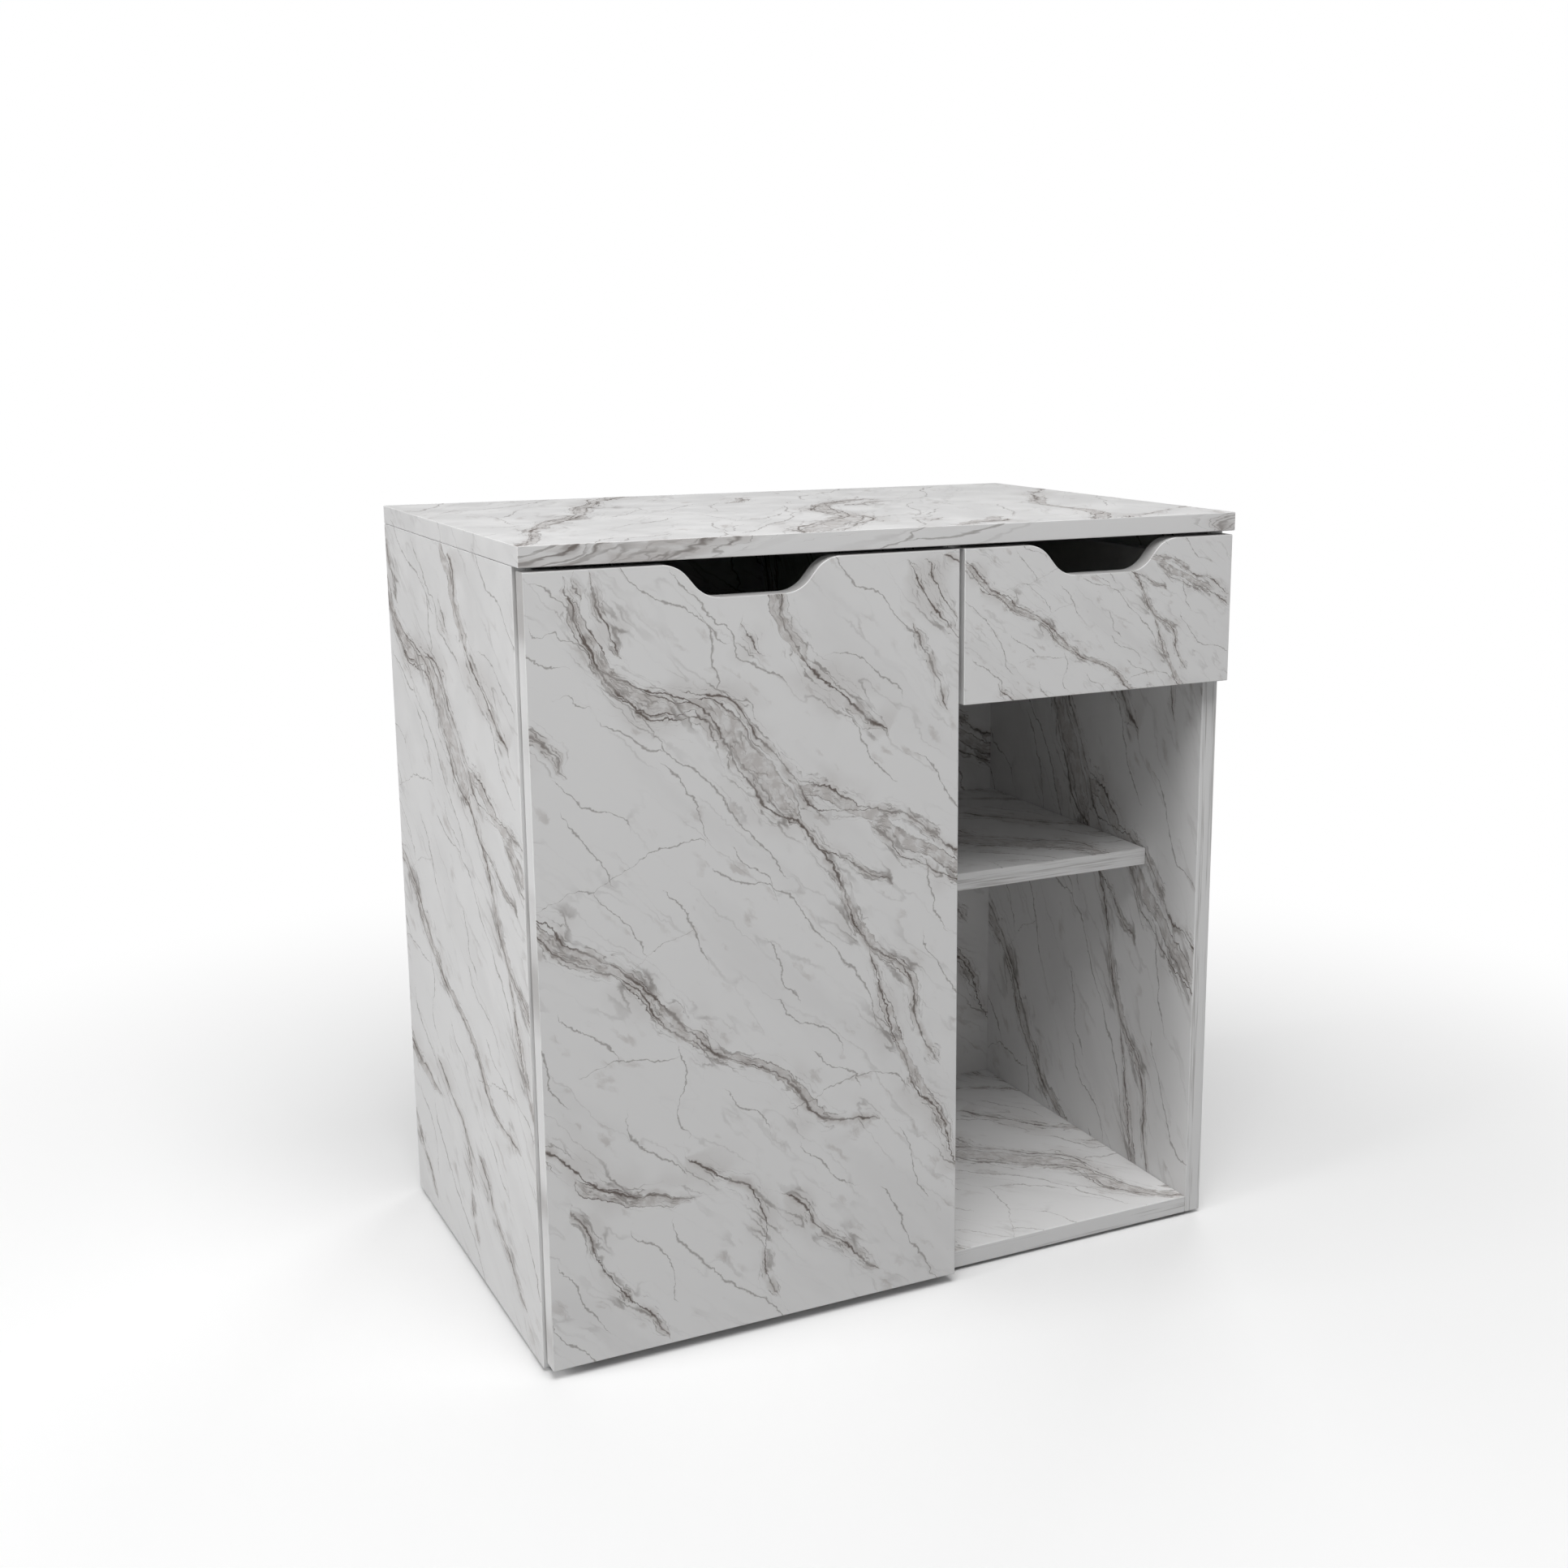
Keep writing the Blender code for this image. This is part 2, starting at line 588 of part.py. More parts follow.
def channel_outline(web, lips, half_height, opens):
    """A C section: the web's outer face at x = web, and flanges that end at x = lips."""
    inner = half_height - SLIDE_SHEET
    return [
        (web, -half_height),
        (lips, -half_height),
        (lips, -inner),
        (web + opens * SLIDE_SHEET, -inner),
        (web + opens * SLIDE_SHEET, inner),
        (lips, inner),
        (lips, half_height),
        (web, half_height),
    ]


def make_slide(side, face, inwards):
    """Three nested channels: one on the cabinet, one between and one on the drawer."""
    outer = SLIDE_HEIGHT / 2
    middle = outer - SLIDE_SHEET - SLIDE_BALL_GAP
    inner = middle - SLIDE_SHEET - SLIDE_BALL_GAP
    drawer_face = SLIDE_THICKNESS - FIT
    lip = drawer_face - SLIDE_SHEET - SLIDE_BALL_GAP
    step = SLIDE_SHEET + SLIDE_BALL_GAP
    members = {
        "outer": channel_outline(FIT, lip, outer, 1),
        "middle": channel_outline(FIT + step, lip, middle, 1),
        "inner": channel_outline(drawer_face, FIT + 2 * step, inner, -1),
    }
    for member, outline in members.items():
        name = f"slide_{member}_{side}"
        points = [(inwards * x, z) for x, z in outline]
        made = add_object(name, prism_mesh(name, points, SLIDE_LENGTH), ZINC)
        turn = Matrix(((1, 0, 0), (0, 0, 1), (0, 1, 0)))
        made.data.transform(turn.to_4x4())
        made.data.flip_normals()
        place(made, (face, SLIDE_START, SLIDE_Z))


def make_drawer():
    front = make_front("drawer_front", DRAWER_LEFT, DRAWER_RIGHT, DRAWER_FRONT_BOTTOM)
    make_drawer_box(front)
    make_slide("left", DIVIDER_RIGHT, 1)
    make_slide("right", INNER_RIGHT, -1)


def bolt_mesh():
    """A cam bolt along +Z: its thread below 0, then shank, collar neck and head."""
    neck = CAM_REACH - BOLT_HEAD
    return turned_mesh(
        "cam_bolt",
        [
            (BOLT_RADIUS * 0.6, -BOLT_THREAD),
            (BOLT_RADIUS, -BOLT_THREAD + BOLT_RADIUS),
            (BOLT_RADIUS, 0),
            (BOLT_HEAD_RADIUS, 0),
            (BOLT_HEAD_RADIUS, CAM_REACH - CAM_RADIUS - BOLT_HEAD / 2),
            (BOLT_RADIUS * 0.7, CAM_REACH - CAM_RADIUS),
            (BOLT_RADIUS * 0.7, neck),
            (BOLT_HEAD_RADIUS, neck + BOLT_HEAD / 3),
            (BOLT_HEAD_RADIUS, CAM_REACH),
        ],
        ROUND_SIDES // 2,
    )


def make_cam(name, edge, reach, face, threaded, bored):
    """A cam in one board's face that pulls on a bolt screwed into the other board.

    edge is where the bolt crosses the joint, in the middle of the bored board's thickness.
    The bolt runs along reach, and face points from there to the board's open face.
    """
    edge = Vector(edge)
    reach = Vector(reach)
    face = Vector(face)
    along = facing(reach, face)
    place(add_object(f"{name}_bolt", bolt_mesh(), STEEL), edge, along)
    thread = prism_mesh(name, circle(BOLT_RADIUS + FIT, 12), BOLT_THREAD + 2 * FIT)
    start = edge - reach * (BOLT_THREAD + FIT)
    boolean(threaded, place(add_object(f"{name}_thread", thread), start, along))
    shank = prism_mesh(name, circle(BOLT_BORE_RADIUS, 12), CAM_REACH + BOLT_HEAD)
    start = edge - reach * BOLT_HEAD
    boolean(bored, place(add_object(f"{name}_shank", shank), start, along))
    depth = BOARD - CAM_WALL
    centre = edge + reach * CAM_REACH
    across = facing(face, reach)
    pocket = prism_mesh(name, circle(CAM_RADIUS + FIT), BOARD)
    start = centre + face * (BOARD / 2 - depth)
    boolean(bored, place(add_object(f"{name}_pocket", pocket), start, across))
    height = depth - 2 * FIT
    cam = add_object(f"{name}_lock", prism_mesh(name, circle(CAM_RADIUS), height), ZINC)
    start = centre + face * (BOARD / 2 - FIT - height)
    place(cam, start, across)
    slot = BOLT_HEAD_RADIUS + FIT
    lift = BOARD / 2 - FIT - CAM_LID
    mouth = box_mesh(name, (-slot, -slot, -slot), (lift, slot, CAM_RADIUS + 2 * slot))
    middle = centre + face * (lift - slot) / 2 - reach * (CAM_RADIUS / 2)
    boolean(cam, place(add_object(f"{name}_mouth", mouth), middle, along))
    top = centre + face * (BOARD / 2 - FIT)
    for bar in (0, 1):
        low = (-CAM_SLOT / 2, -CAM_RADIUS / 2, -CAM_SLOT)
        cross = box_mesh(name, low, (CAM_SLOT / 2, CAM_RADIUS / 2, CAM_SLOT))
        turn = across @ Matrix.Rotation(bar * math.pi / 2, 3, "Z")
        boolean(cam, place(add_object(f"{name}_cross_{bar}", cross), top, turn))


def make_cams(top, left, right, bottom):
    """Cam fittings that pull the sides against the top, and the bottom against the sides."""
    ends = {"front": CARCASS_FRONT + CAM_FROM_FRONT, "rear": CARCASS_BACK - CAM_FROM_BACK}
    sides = {"left": (left, INNER_LEFT, 1), "right": (right, INNER_RIGHT, -1)}
    for side, (panel, inner, inwards) in sides.items():
        for end, y in ends.items():
            middle = inner - inwards * BOARD / 2
            edge = (middle, y, UNDER_TOP)
            make_cam(f"top_{side}_{end}_cam", edge, (0, 0, -1), (inwards, 0, 0), top, panel)
            edge = (inner, y, BASE + BOARD / 2)
            make_cam(f"bottom_{side}_{end}_cam", edge, (inwards, 0, 0), (0, 0, -1), panel, bottom)


def make_carcass():
    top = make_top()
    left, right = make_sides()
    bottom = make_bottom()
    divider = make_divider()
    make_niche_top()
    make_rear_rail()
    make_back(top, left, right, bottom)
    make_shelf(
        "niche", (divider, DIVIDER_RIGHT), (right, INNER_RIGHT), BASE + NICHE_SHELF_TOP, NICHE_SHELF_SETBACK
    )
    make_shelf(
        "door", (left, INNER_LEFT), (divider, DIVIDER_LEFT), BASE + DOOR_SHELF_TOP, DOOR_SHELF_SETBACK
    )
    make_glides(left, right)
    make_cams(top, left, right, bottom)


def main():
    clear_scene()
    make_carcass()
    make_door()
    make_drawer()


main()
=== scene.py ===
"""The looks of a bathroom vanity cabinet: marble-print boards, a notched door and drawer, and fittings.

Metres, +Z up, +X to the right and the front towards -Y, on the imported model's own bodies.
Patterns follow each board's own place at rest, so they move with the door and the drawer.
"""

import json
import math

import bmesh
import bpy
from mathutils import Matrix, Vector

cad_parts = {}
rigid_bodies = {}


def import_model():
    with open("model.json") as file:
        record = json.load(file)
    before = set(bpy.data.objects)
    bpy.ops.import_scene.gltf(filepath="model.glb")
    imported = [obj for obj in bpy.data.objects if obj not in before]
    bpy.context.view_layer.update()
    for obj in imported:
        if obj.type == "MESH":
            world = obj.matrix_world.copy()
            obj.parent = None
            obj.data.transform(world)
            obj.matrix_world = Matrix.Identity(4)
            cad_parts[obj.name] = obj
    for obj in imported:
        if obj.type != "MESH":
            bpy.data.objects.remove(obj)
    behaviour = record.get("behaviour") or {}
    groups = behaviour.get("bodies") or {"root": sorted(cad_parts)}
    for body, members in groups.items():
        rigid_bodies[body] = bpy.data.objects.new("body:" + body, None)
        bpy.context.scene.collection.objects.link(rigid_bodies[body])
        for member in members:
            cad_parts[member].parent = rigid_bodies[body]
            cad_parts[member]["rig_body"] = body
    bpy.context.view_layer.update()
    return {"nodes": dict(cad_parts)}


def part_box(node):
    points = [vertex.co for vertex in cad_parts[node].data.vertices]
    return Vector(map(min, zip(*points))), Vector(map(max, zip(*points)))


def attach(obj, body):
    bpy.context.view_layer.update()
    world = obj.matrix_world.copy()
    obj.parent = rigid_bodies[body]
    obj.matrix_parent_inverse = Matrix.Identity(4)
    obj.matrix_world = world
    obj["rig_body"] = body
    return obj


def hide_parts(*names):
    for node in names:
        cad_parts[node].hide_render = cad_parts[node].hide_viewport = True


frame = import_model()

MM = 0.001
X = Vector((1, 0, 0))
Y = Vector((0, 1, 0))
Z = Vector((0, 0, 1))

# Camera
CAMERA_PLACE = (-0.6818, -1.4761, 0.7517)
CAMERA_TURN = 0.4794
CAMERA_TILT = -0.2112
CAMERA_LENS = 44.74
CAMERA_SHIFT = (-0.0694, -0.0135)

# Boards
EDGE_ROUND = 0.0007
EDGE_STEPS = 3
EDGE_ANGLE = math.radians(40)
FINE_EDGE = 0.0002
HINGE_EDGE = 0.00025
THIN_BOARD_EDGE = 0.0003
SMOOTH_ANGLE = math.radians(38)
FLAT_ANGLE = math.radians(0.5)
JOIN_WITHIN = 2e-6
NOTCH_TOP_WIDTH = 0.140
NOTCH_FLOOR_WIDTH = 0.050
NOTCH_DEPTH = 0.025
NOTCH_SLOPE_SHARE = 0.87
NOTCH_ARC_STEPS = 24
# A face whose normal runs along Y by at least this share faces the front or the rear
FACES_FRONT = 0.7
BORE_DEPTH = 0.020
BORE_SIDES = 64
FIT = 0.0003

# Small fittings
SCREW_RADIUS = 0.0034
SCREW_RISE = 0.0013
SLIDE_SHEET = 0.0012
ARM_SCREWS = {"front": 0.42, "rear": 0.80}
SLIDE_SCREWS = {"front": 0.10, "middle": 0.42, "rear": 0.86}
CAP_RADIUS = 0.0085
CAP_RISE = 0.0007
CAP_FROM_END = 0.036
CAP_HEIGHT_SHARE = 0.62

# The printed sheet: its veins run near the diagonal. Each has its half width and the points of its course,
# in millimetres across and down the sheet.
SHEET_SPAN = 920
SHEET_START = (-180, -340)
VEIN_GAP = 8
VEIN_TAPER = 12
DARK_VEINS = [
    (1.7, (27, 4), (33, 25), (40, 45), (52, 68), (70, 80), (88, 90), (122, 102), (136, 116), (152, 142),
     (167, 167), (186, 190), (203, 196), (214, 212), (230, 231), (240, 250), (248, 272), (262, 298),
     (275, 308), (290, 318), (300, 345), (308, 378), (326, 408)),
    (1.3, (38, 30), (45, 55), (60, 80), (75, 96), (90, 108), (108, 112), (126, 112), (142, 128)),
    (1.5, (112, 92), (132, 96), (151, 102), (166, 120), (186, 145), (206, 170), (216, 186), (240, 190),
     (262, 194), (285, 200), (302, 205), (318, 215), (331, 229), (355, 236), (374, 248), (400, 274)),
    (1.3, (197, 160), (220, 170), (240, 180), (264, 193)),
    (1.5, (262, 204), (281, 218), (291, 232), (318, 248), (336, 257), (374, 270), (402, 293)),
    (1.9, (178, 8), (195, 45), (207, 68), (217, 82), (232, 95), (245, 108), (258, 122), (280, 136)),
    (1.8, (46, 2), (52, 22), (58, 38), (68, 62)),
    (1.5, (296, 4), (310, 30), (322, 45), (340, 65), (362, 84)),
    (1.3, (298, 50), (310, 75), (322, 100), (330, 124)),
    (1.8, (-10, 98), (8, 120), (18, 130), (24, 148)),
    (1.2, (214, 206), (222, 220), (240, 230), (260, 243), (282, 254)),
    (1.9, (-66, 184), (-38, 212), (-8, 243), (10, 250), (22, 264), (50, 284), (80, 310), (97, 324),
     (115, 348), (131, 364), (157, 376), (185, 392), (200, 410), (215, 428), (240, 440), (272, 446)),
    (1.2, (-40, 226), (-8, 250), (16, 272), (40, 290), (62, 300), (84, 322), (104, 346), (126, 368)),
    (1.5, (262, 300), (268, 322), (274, 343), (284, 377), (295, 400), (303, 424), (320, 440), (334, 478),
     (342, 506)),
    (1.9, (-8, 402), (8, 424), (30, 447), (50, 460), (75, 470), (100, 476), (120, 478)),
    (1.6, (108, 446), (120, 452), (135, 465), (155, 475), (165, 490), (170, 514), (172, 545), (186, 580)),
    (1.4, (18, 464), (28, 486), (36, 505), (50, 530), (60, 548), (78, 564), (92, 590)),
    (1.6, (190, 488), (205, 505), (215, 520), (235, 540), (250, 555), (272, 572)),
    (1.5, (60, -140), (78, -116), (104, -96), (118, -92), (150, -98), (170, -92), (186, -70), (208, -44)),
    (1.2, (150, -200), (178, -150), (191, -112), (206, -80), (232, -60)),
    (1.3, (4, -196), (39, -150), (82, -110), (100, -80)),
    (1.4, (36, 2), (33, 10), (42, 22)),
    (1.3, (158, 44), (168, 58), (180, 72)),
    (1.2, (312, 4), (320, 20), (328, 34), (338, 54)),
    (1.6, (326, 4), (334, 8), (346, 17)),
    (1.4, (344, 30), (362, 66), (372, 98), (384, 140)),
]
FAINT_VEINS = [
    (1.4, (62, -6), (81, 15), (98, 25), (115, 30), (135, 42), (150, 60)),
    (1.2, (104, 4), (125, 25), (140, 40), (150, 50), (160, 70), (172, 78), (196, 96)),
    (1.6, (128, 34), (140, 70), (148, 100)),
    (1.3, (228, -4), (250, 20), (270, 30), (290, 50), (304, 66)),
    (1.1, (225, 72), (240, 72), (256, 78), (272, 92), (290, 112)),
    (1.4, (14, 148), (35, 165), (52, 172), (72, 190)),
    (1.3, (50, 106), (75, 122), (87, 130), (104, 134)),
    (1.3, (84, 100), (100, 130), (115, 145), (130, 155), (140, 168), (150, 182), (160, 195), (182, 218),
     (196, 240)),
    (1.2, (-6, 238), (28, 228), (45, 228), (62, 218), (85, 207), (110, 203), (132, 206)),
    (1.2, (44, 226), (60, 250), (75, 270), (82, 286)),
    (1.6, (134, 226), (148, 236), (178, 243), (195, 252), (215, 280), (240, 310), (260, 340), (270, 372)),
    (1.2, (62, 292), (85, 280), (102, 274), (118, 272)),
    (1.2, (103, 352), (110, 385), (104, 412), (112, 430)),
    (1.1, (26, 366), (51, 359), (76, 361), (106, 364)),
    (1.5, (312, 296), (331, 339), (349, 361), (383, 368), (402, 384)),
    (1.2, (190, 420), (234, 409), (281, 411), (300, 424)),
    (1.6, (-66, 250), (-42, 275), (-17, 309), (1, 348), (20, 389)),
    (1.3, (-52, 352), (-23, 377), (-4, 400), (10, 440)),
    (1.5, (96, 492), (130, 540), (170, 575), (200, 612)),
    (1.4, (272, 505), (300, 560), (330, 604)),
    (1.5, (2, 548), (40, 600), (66, 628)),
    (1.3, (300, 150), (322, 172), (340, 196), (366, 212)),
    (1.2, (180, 330), (200, 350), (226, 362), (240, 384)),
    (1.3, (60, 400), (72, 430), (96, 448), (110, 462)),
    (1.4, (-44, -120), (-20, -84), (14, -60), (40, -30), (48, -4)),
    (1.2, (96, -66), (120, -44), (150, -28), (172, -2)),
    (1.3, (-50, -20), (-24, 14), (-10, 40), (6, 62), (30, 70)),
    (1.2, (70, -190), (92, -168), (120, -150), (136, -128)),
    (1.3, (3, 8), (15, 10), (25, 22), (36, 37), (42, 48)),
    (1.2, (2, 35), (4, 44), (12, 46), (20, 43), (26, 49), (36, 51), (46, 58)),
    (1.3, (52, 82), (62, 88), (75, 99), (91, 106), (102, 114)),
    (1.3, (148, 98), (155, 83), (165, 104), (174, 118)),
    (1.2, (14, 92), (24, 88), (34, 96), (46, 98)),
    (1.2, (20, 170), (34, 190), (52, 214), (60, 228)),
    (1.1, (98, 140), (114, 158), (126, 180), (134, 204)),
    (1.2, (150, 206), (160, 224), (176, 236), (186, 258)),
    (1.1, (240, 118), (256, 136), (268, 158), (286, 176)),
    (1.2, (96, 236), (110, 252), (120, 276), (128, 300)),
    (1.1, (176, 282), (188, 300), (192, 322), (206, 338)),
    (1.2, (304, 236), (314, 262), (322, 280), (334, 300)),
    (1.1, (14, 316), (30, 334), (44, 342), (58, 362)),
    (1.2, (212, 376), (228, 394), (246, 400), (258, 420)),
    (1.1, (140, 398), (150, 414), (166, 420), (176, 442)),
    (1.2, (206, 452), (222, 470), (236, 488), (256, 500)),
    (1.2, (62, 494), (84, 512), (96, 534), (104, 560)),
    (1.1, (284, 452), (296, 470), (300, 496), (316, 520)),
    (1.1, (6, 508), (20, 526), (28, 550), (44, 572)),
]
VEIN_BANDS = [
    (6.0, (30, 20), (48, 56), (64, 80), (84, 96), (102, 104), (126, 108)),
    (8.5, (118, 98), (142, 114), (158, 133), (176, 157), (194, 182), (208, 198)),
    (4.5, (196, 164), (220, 174), (240, 184), (262, 197), (282, 208)),
    (5.0, (170, -4), (184, 28), (197, 52), (212, 76)),
    (5.0, (-66, 190), (-38, 218), (-8, 247), (19, 268), (50, 288), (80, 314), (112, 348), (133, 366)),
    (4.0, (128, 362), (157, 374), (185, 390), (200, 408), (228, 434)),
    (5.5, (20, 444), (50, 463), (80, 475), (112, 480)),
    (6.0, (262, 204), (284, 214), (312, 230), (340, 246), (372, 262)),
    (4.0, (238, 250), (254, 282), (270, 304), (292, 322), (304, 352)),
    (4.0, (270, 330), (282, 366), (298, 404), (318, 436), (336, 480)),
    (6.0, (66, -136), (90, -106), (112, -94), (150, -96), (176, -84), (204, -50)),
]

# The noise that makes the veins ragged, coarse to fine: the size of its lumps, its detail, how far it pushes
VEIN_WARPS = [(0.045, 2, 0.012), (0.011, 5, 0.0048), (0.0040, 2, 0.0030)]

# The print's other patterns: the size of their lumps, the threads' metres for each half width out from a
# vein or band, how far lines are drawn out, and the strength of each layer
SWELL_SIZE = 0.018
PATCH_SIZE = 0.060
THREAD_SIZE = 0.012
WISP_SIZE = 0.050
SMOKE_SIZE = 0.007
SMUDGE_SIZE = 0.016
CLOUD_SIZE = 0.070
VEIN_THREAD_GAP = 0.0042
BAND_THREAD_GAP = 0.0160
LINE_STRETCH = 5
SMUDGE_STRETCH = 2.5
FAINT_SHARE = 0.60
SOFT_SHARE = 0.70
DARK_SHARE = 0.97

# Each print's scale across and down the sheet, and the sheet's point at the board's corner
DOOR_PRINT = (1, -1), (0, 0)
DRAWER_PRINT = (1.862, -2.273), (-0.0639, 0.1614)
LEFT_SIDE_PRINT = (-1 / 1.48, -1), (0.0696 / 1.48, 0)
RIGHT_SIDE_PRINT = (1 / 1.48, -1), (0.24 / 1.48, 0)
TOP_PRINT = (-0.66, -1), (-0.05, 0.41)

# The same for the other prints, with the sheet's point at the object's origin
INNER_UPRIGHT_PRINT = (-0.97, -0.62), (0.197, 0.394)
BACK_PRINT = (0.75, -0.9), (0.13, 0.57)
LEVEL_PRINT = (0.9, -1), (0.20, 0.34)
TOP_FRONT_PRINT = (-0.27, -1.1), (0.098, 0.803)
PALER_PRINT = 0.9

# The object's axes that run across and down each kind of board: X, Y and Z are 0, 1 and 2
FRONT_AXES = (0, 2)
SIDE_AXES = (1, 2)
LYING_AXES = (1, 0)

# Edge banding's streaks
STREAK_STRETCH = 0.022
WIDE_STREAK = 0.0055
FINE_STREAK = 0.0012

# Surface
LAMINATE_GLOSS = 0.42
GRAIN_STRENGTH = 0.5
MOTTLE_SIZE = 0.020
HANDLED_SIZE = 0.035

# Colours, as linear light
STONE_LIGHT = (0.855, 0.852, 0.850, 1)
STONE_SHADE = (0.785, 0.780, 0.778, 1)
VEIN_SOFT = (0.505, 0.470, 0.450, 1)
VEIN_DARK = (0.150, 0.122, 0.108, 1)
BAND_LIGHT = (0.850, 0.848, 0.846, 1)
BAND_STREAK = (0.560, 0.548, 0.540, 1)
CUT_EDGE = (0.500, 0.494, 0.490, 1)
BOX_WHITE = (0.780, 0.780, 0.775, 1)
NICKEL = (0.640, 0.620, 0.590, 1)
ZINC = (0.560, 0.580, 0.610, 1)
PLASTIC_WHITE = (0.780, 0.775, 0.760, 1)
PAD_CLEAR = (0.740, 0.760, 0.770, 1)
FLOOR_SEEN = (0.96, 0.96, 0.96, 1)
FLOOR_BOUNCE = (0.42, 0.42, 0.42, 1)
STUDIO_WHITE = (1, 1, 1, 1)

# Studio: each softbox's place, size and power, and whether shiny surfaces show it
FLOOR_RADIUS = 30
FLOOR_SIDES = 96
FLOOR_FADE = (0.45, 1.2)
AMBIENT_LIGHT = 0.22
LIGHT_AIM = Vector((0, 0, 0.35))
SOFTBOXES = {
    "softbox_above": ((-0.4, -1.3, 3.0), 2.0, 64, True),
    "softbox_left": ((-3.2, -0.2, 1.5), 1.6, 48, True),
    "softbox_behind": ((2.0, 2.2, 0.9), 1.4, 34, False),
}


# Node trees


def add_node(tree, kind, inputs=None, **settings):
    """A shader node with its settings, and each input set to a value or linked to an output."""
    node = tree.nodes.new(f"ShaderNode{kind}")
    for name, value in settings.items():
        setattr(node, name, value)
    for name, value in (inputs or {}).items():
        if isinstance(value, bpy.types.NodeSocket):
            tree.links.new(value, node.inputs[name])
        else:
            node.inputs[name].default_value = value
    return node


def calculate(tree, operation, *values):
    return add_node(tree, "Math", dict(enumerate(values)), operation=operation).outputs[0]


def times(tree, value, other):
    return calculate(tree, "MULTIPLY", value, other)


def most(tree, value, *others):
    for other in others:
        value = calculate(tree, "MAXIMUM", value, other)
    return value


def spread(tree, value, low, high, start=0.0, end=1.0):
    """The value eased from one range to another, and held at its ends."""
    ranges = {"Value": value, "From Min": low, "From Max": high, "To Min": start, "To Max": end}
    return add_node(tree, "MapRange", ranges, interpolation_type="SMOOTHSTEP").outputs[0]


def noise(tree, position, size, detail=2.0, flat=True):
    """Soft noise whose lumps are about size across."""
    inputs = {"Vector": position, "Scale": 1 / size, "Detail": detail}
    return add_node(tree, "TexNoise", inputs, noise_dimensions="2D" if flat else "3D")


def blend_colour(tree, factor, first, second):
    node = add_node(tree, "Mix", {0: factor, 6: first, 7: second}, data_type="RGBA")
    return node.outputs[2]


def new_group(name, inputs, outputs):
    """An empty node group, with its own input and output nodes."""
    group = bpy.data.node_groups.new(name, "ShaderNodeTree")
    for socket, kind, value in inputs:
        made = group.interface.new_socket(socket, in_out="INPUT", socket_type=f"NodeSocket{kind}")
        if value is not None:
            made.default_value = value
    for socket, kind in outputs:
        group.interface.new_socket(socket, in_out="OUTPUT", socket_type=f"NodeSocket{kind}")
    return group, group.nodes.new("NodeGroupInput"), group.nodes.new("NodeGroupOutput")


def use_group(tree, group, **inputs):
    node = tree.nodes.new("ShaderNodeGroup")
    node.node_tree = group
    for name, value in inputs.items():
        socket = node.inputs[name.replace("_", " ").title()]
        if isinstance(value, bpy.types.NodeSocket):
            tree.links.new(value, socket)
        else:
            socket.default_value = value
    return node


# The marble print


def along_and_off(point):
    """A point of the sheet as shares of its span: along its diagonal, and off it."""
    across, down = point
    along = (across + down) / math.sqrt(2)
    off = (down - across) / math.sqrt(2)
    return (along - SHEET_START[0]) / SHEET_SPAN, (off - SHEET_START[1]) / SHEET_SPAN


def strands_of(veins):
    """Veins that follow one another along the diagonal, gathered into as few strands as they fit."""
    strands = []
    for width, *points in sorted(veins, key=lambda vein: along_and_off(vein[1])):
        line = [along_and_off(point) for point in points]
        for strand in strands:
            if strand[-1][1][-1][0] + VEIN_GAP / SHEET_SPAN < line[0][0]:
                strand.append((width / SHEET_SPAN, line))
                break
        else:
            strands.append([(width / SHEET_SPAN, line)])
    return strands


def curve_node(tree, value, points, handle):
    """The value sent through a curve that has these points."""
    node = add_node(tree, "FloatCurve", {"Value": value})
    curve = node.mapping.curves[0]
    curve.points[0].location = points[0]
    curve.points[1].location = points[-1]
    for x, y in points[1:-1]:
        curve.points.new(x, y)
    for point in curve.points:
        point.handle_type = handle
    node.mapping.update()
    return node.outputs[0]


def nearest_vein(tree, along, off, veins):
    """How far the nearest of these veins is, counted in half widths of that vein."""
    nearest = None
    for strand in strands_of(veins):
        centre = [point for _, line in strand for point in line]
        width = []
        for half, line in strand:
            start, end = line[0][0], line[-1][0]
            taper = min(VEIN_TAPER / SHEET_SPAN, (end - start) / 3)
            width += [(start, 0), (start + taper, half), (end - taper, half), (end, 0)]
        middle = curve_node(tree, along, centre, "AUTO")
        half_width = curve_node(tree, along, width, "VECTOR")
        away = calculate(tree, "ABSOLUTE", calculate(tree, "SUBTRACT", off, middle))
        share = calculate(tree, "DIVIDE", away, calculate(tree, "MAXIMUM", half_width, 1e-5))
        nearest = share if nearest is None else calculate(tree, "MINIMUM", nearest, share)
    return nearest


def ridges(tree, position, size, width, detail):
    """Thin wandering lines: where soft noise crosses its middle value."""
    field = noise(tree, position, size, detail).outputs["Fac"]
    away = calculate(tree, "ABSOLUTE", calculate(tree, "SUBTRACT", field, 0.5))
    return spread(tree, away, width, 0.0)


def drawn_out(tree, along, across, stretch):
    """A place whose patterns run long in its first direction."""
    shortened = calculate(tree, "DIVIDE", along, stretch)
    return add_node(tree, "CombineXYZ", {0: shortened, 1: across}).outputs[0]


def warp(tree, position, size, detail, amount):
    """The position pushed about by noise, so that straight lines turn ragged."""
    push = noise(tree, position, size, detail).outputs["Color"]
    push = add_node(tree, "VectorMath", {0: push, 1: (0.5, 0.5, 0.5)}, operation="SUBTRACT").outputs[0]
    moved = {0: push, 1: (amount, amount, 0), 2: position}
    return add_node(tree, "VectorMath", moved, operation="MULTIPLY_ADD").outputs[0]


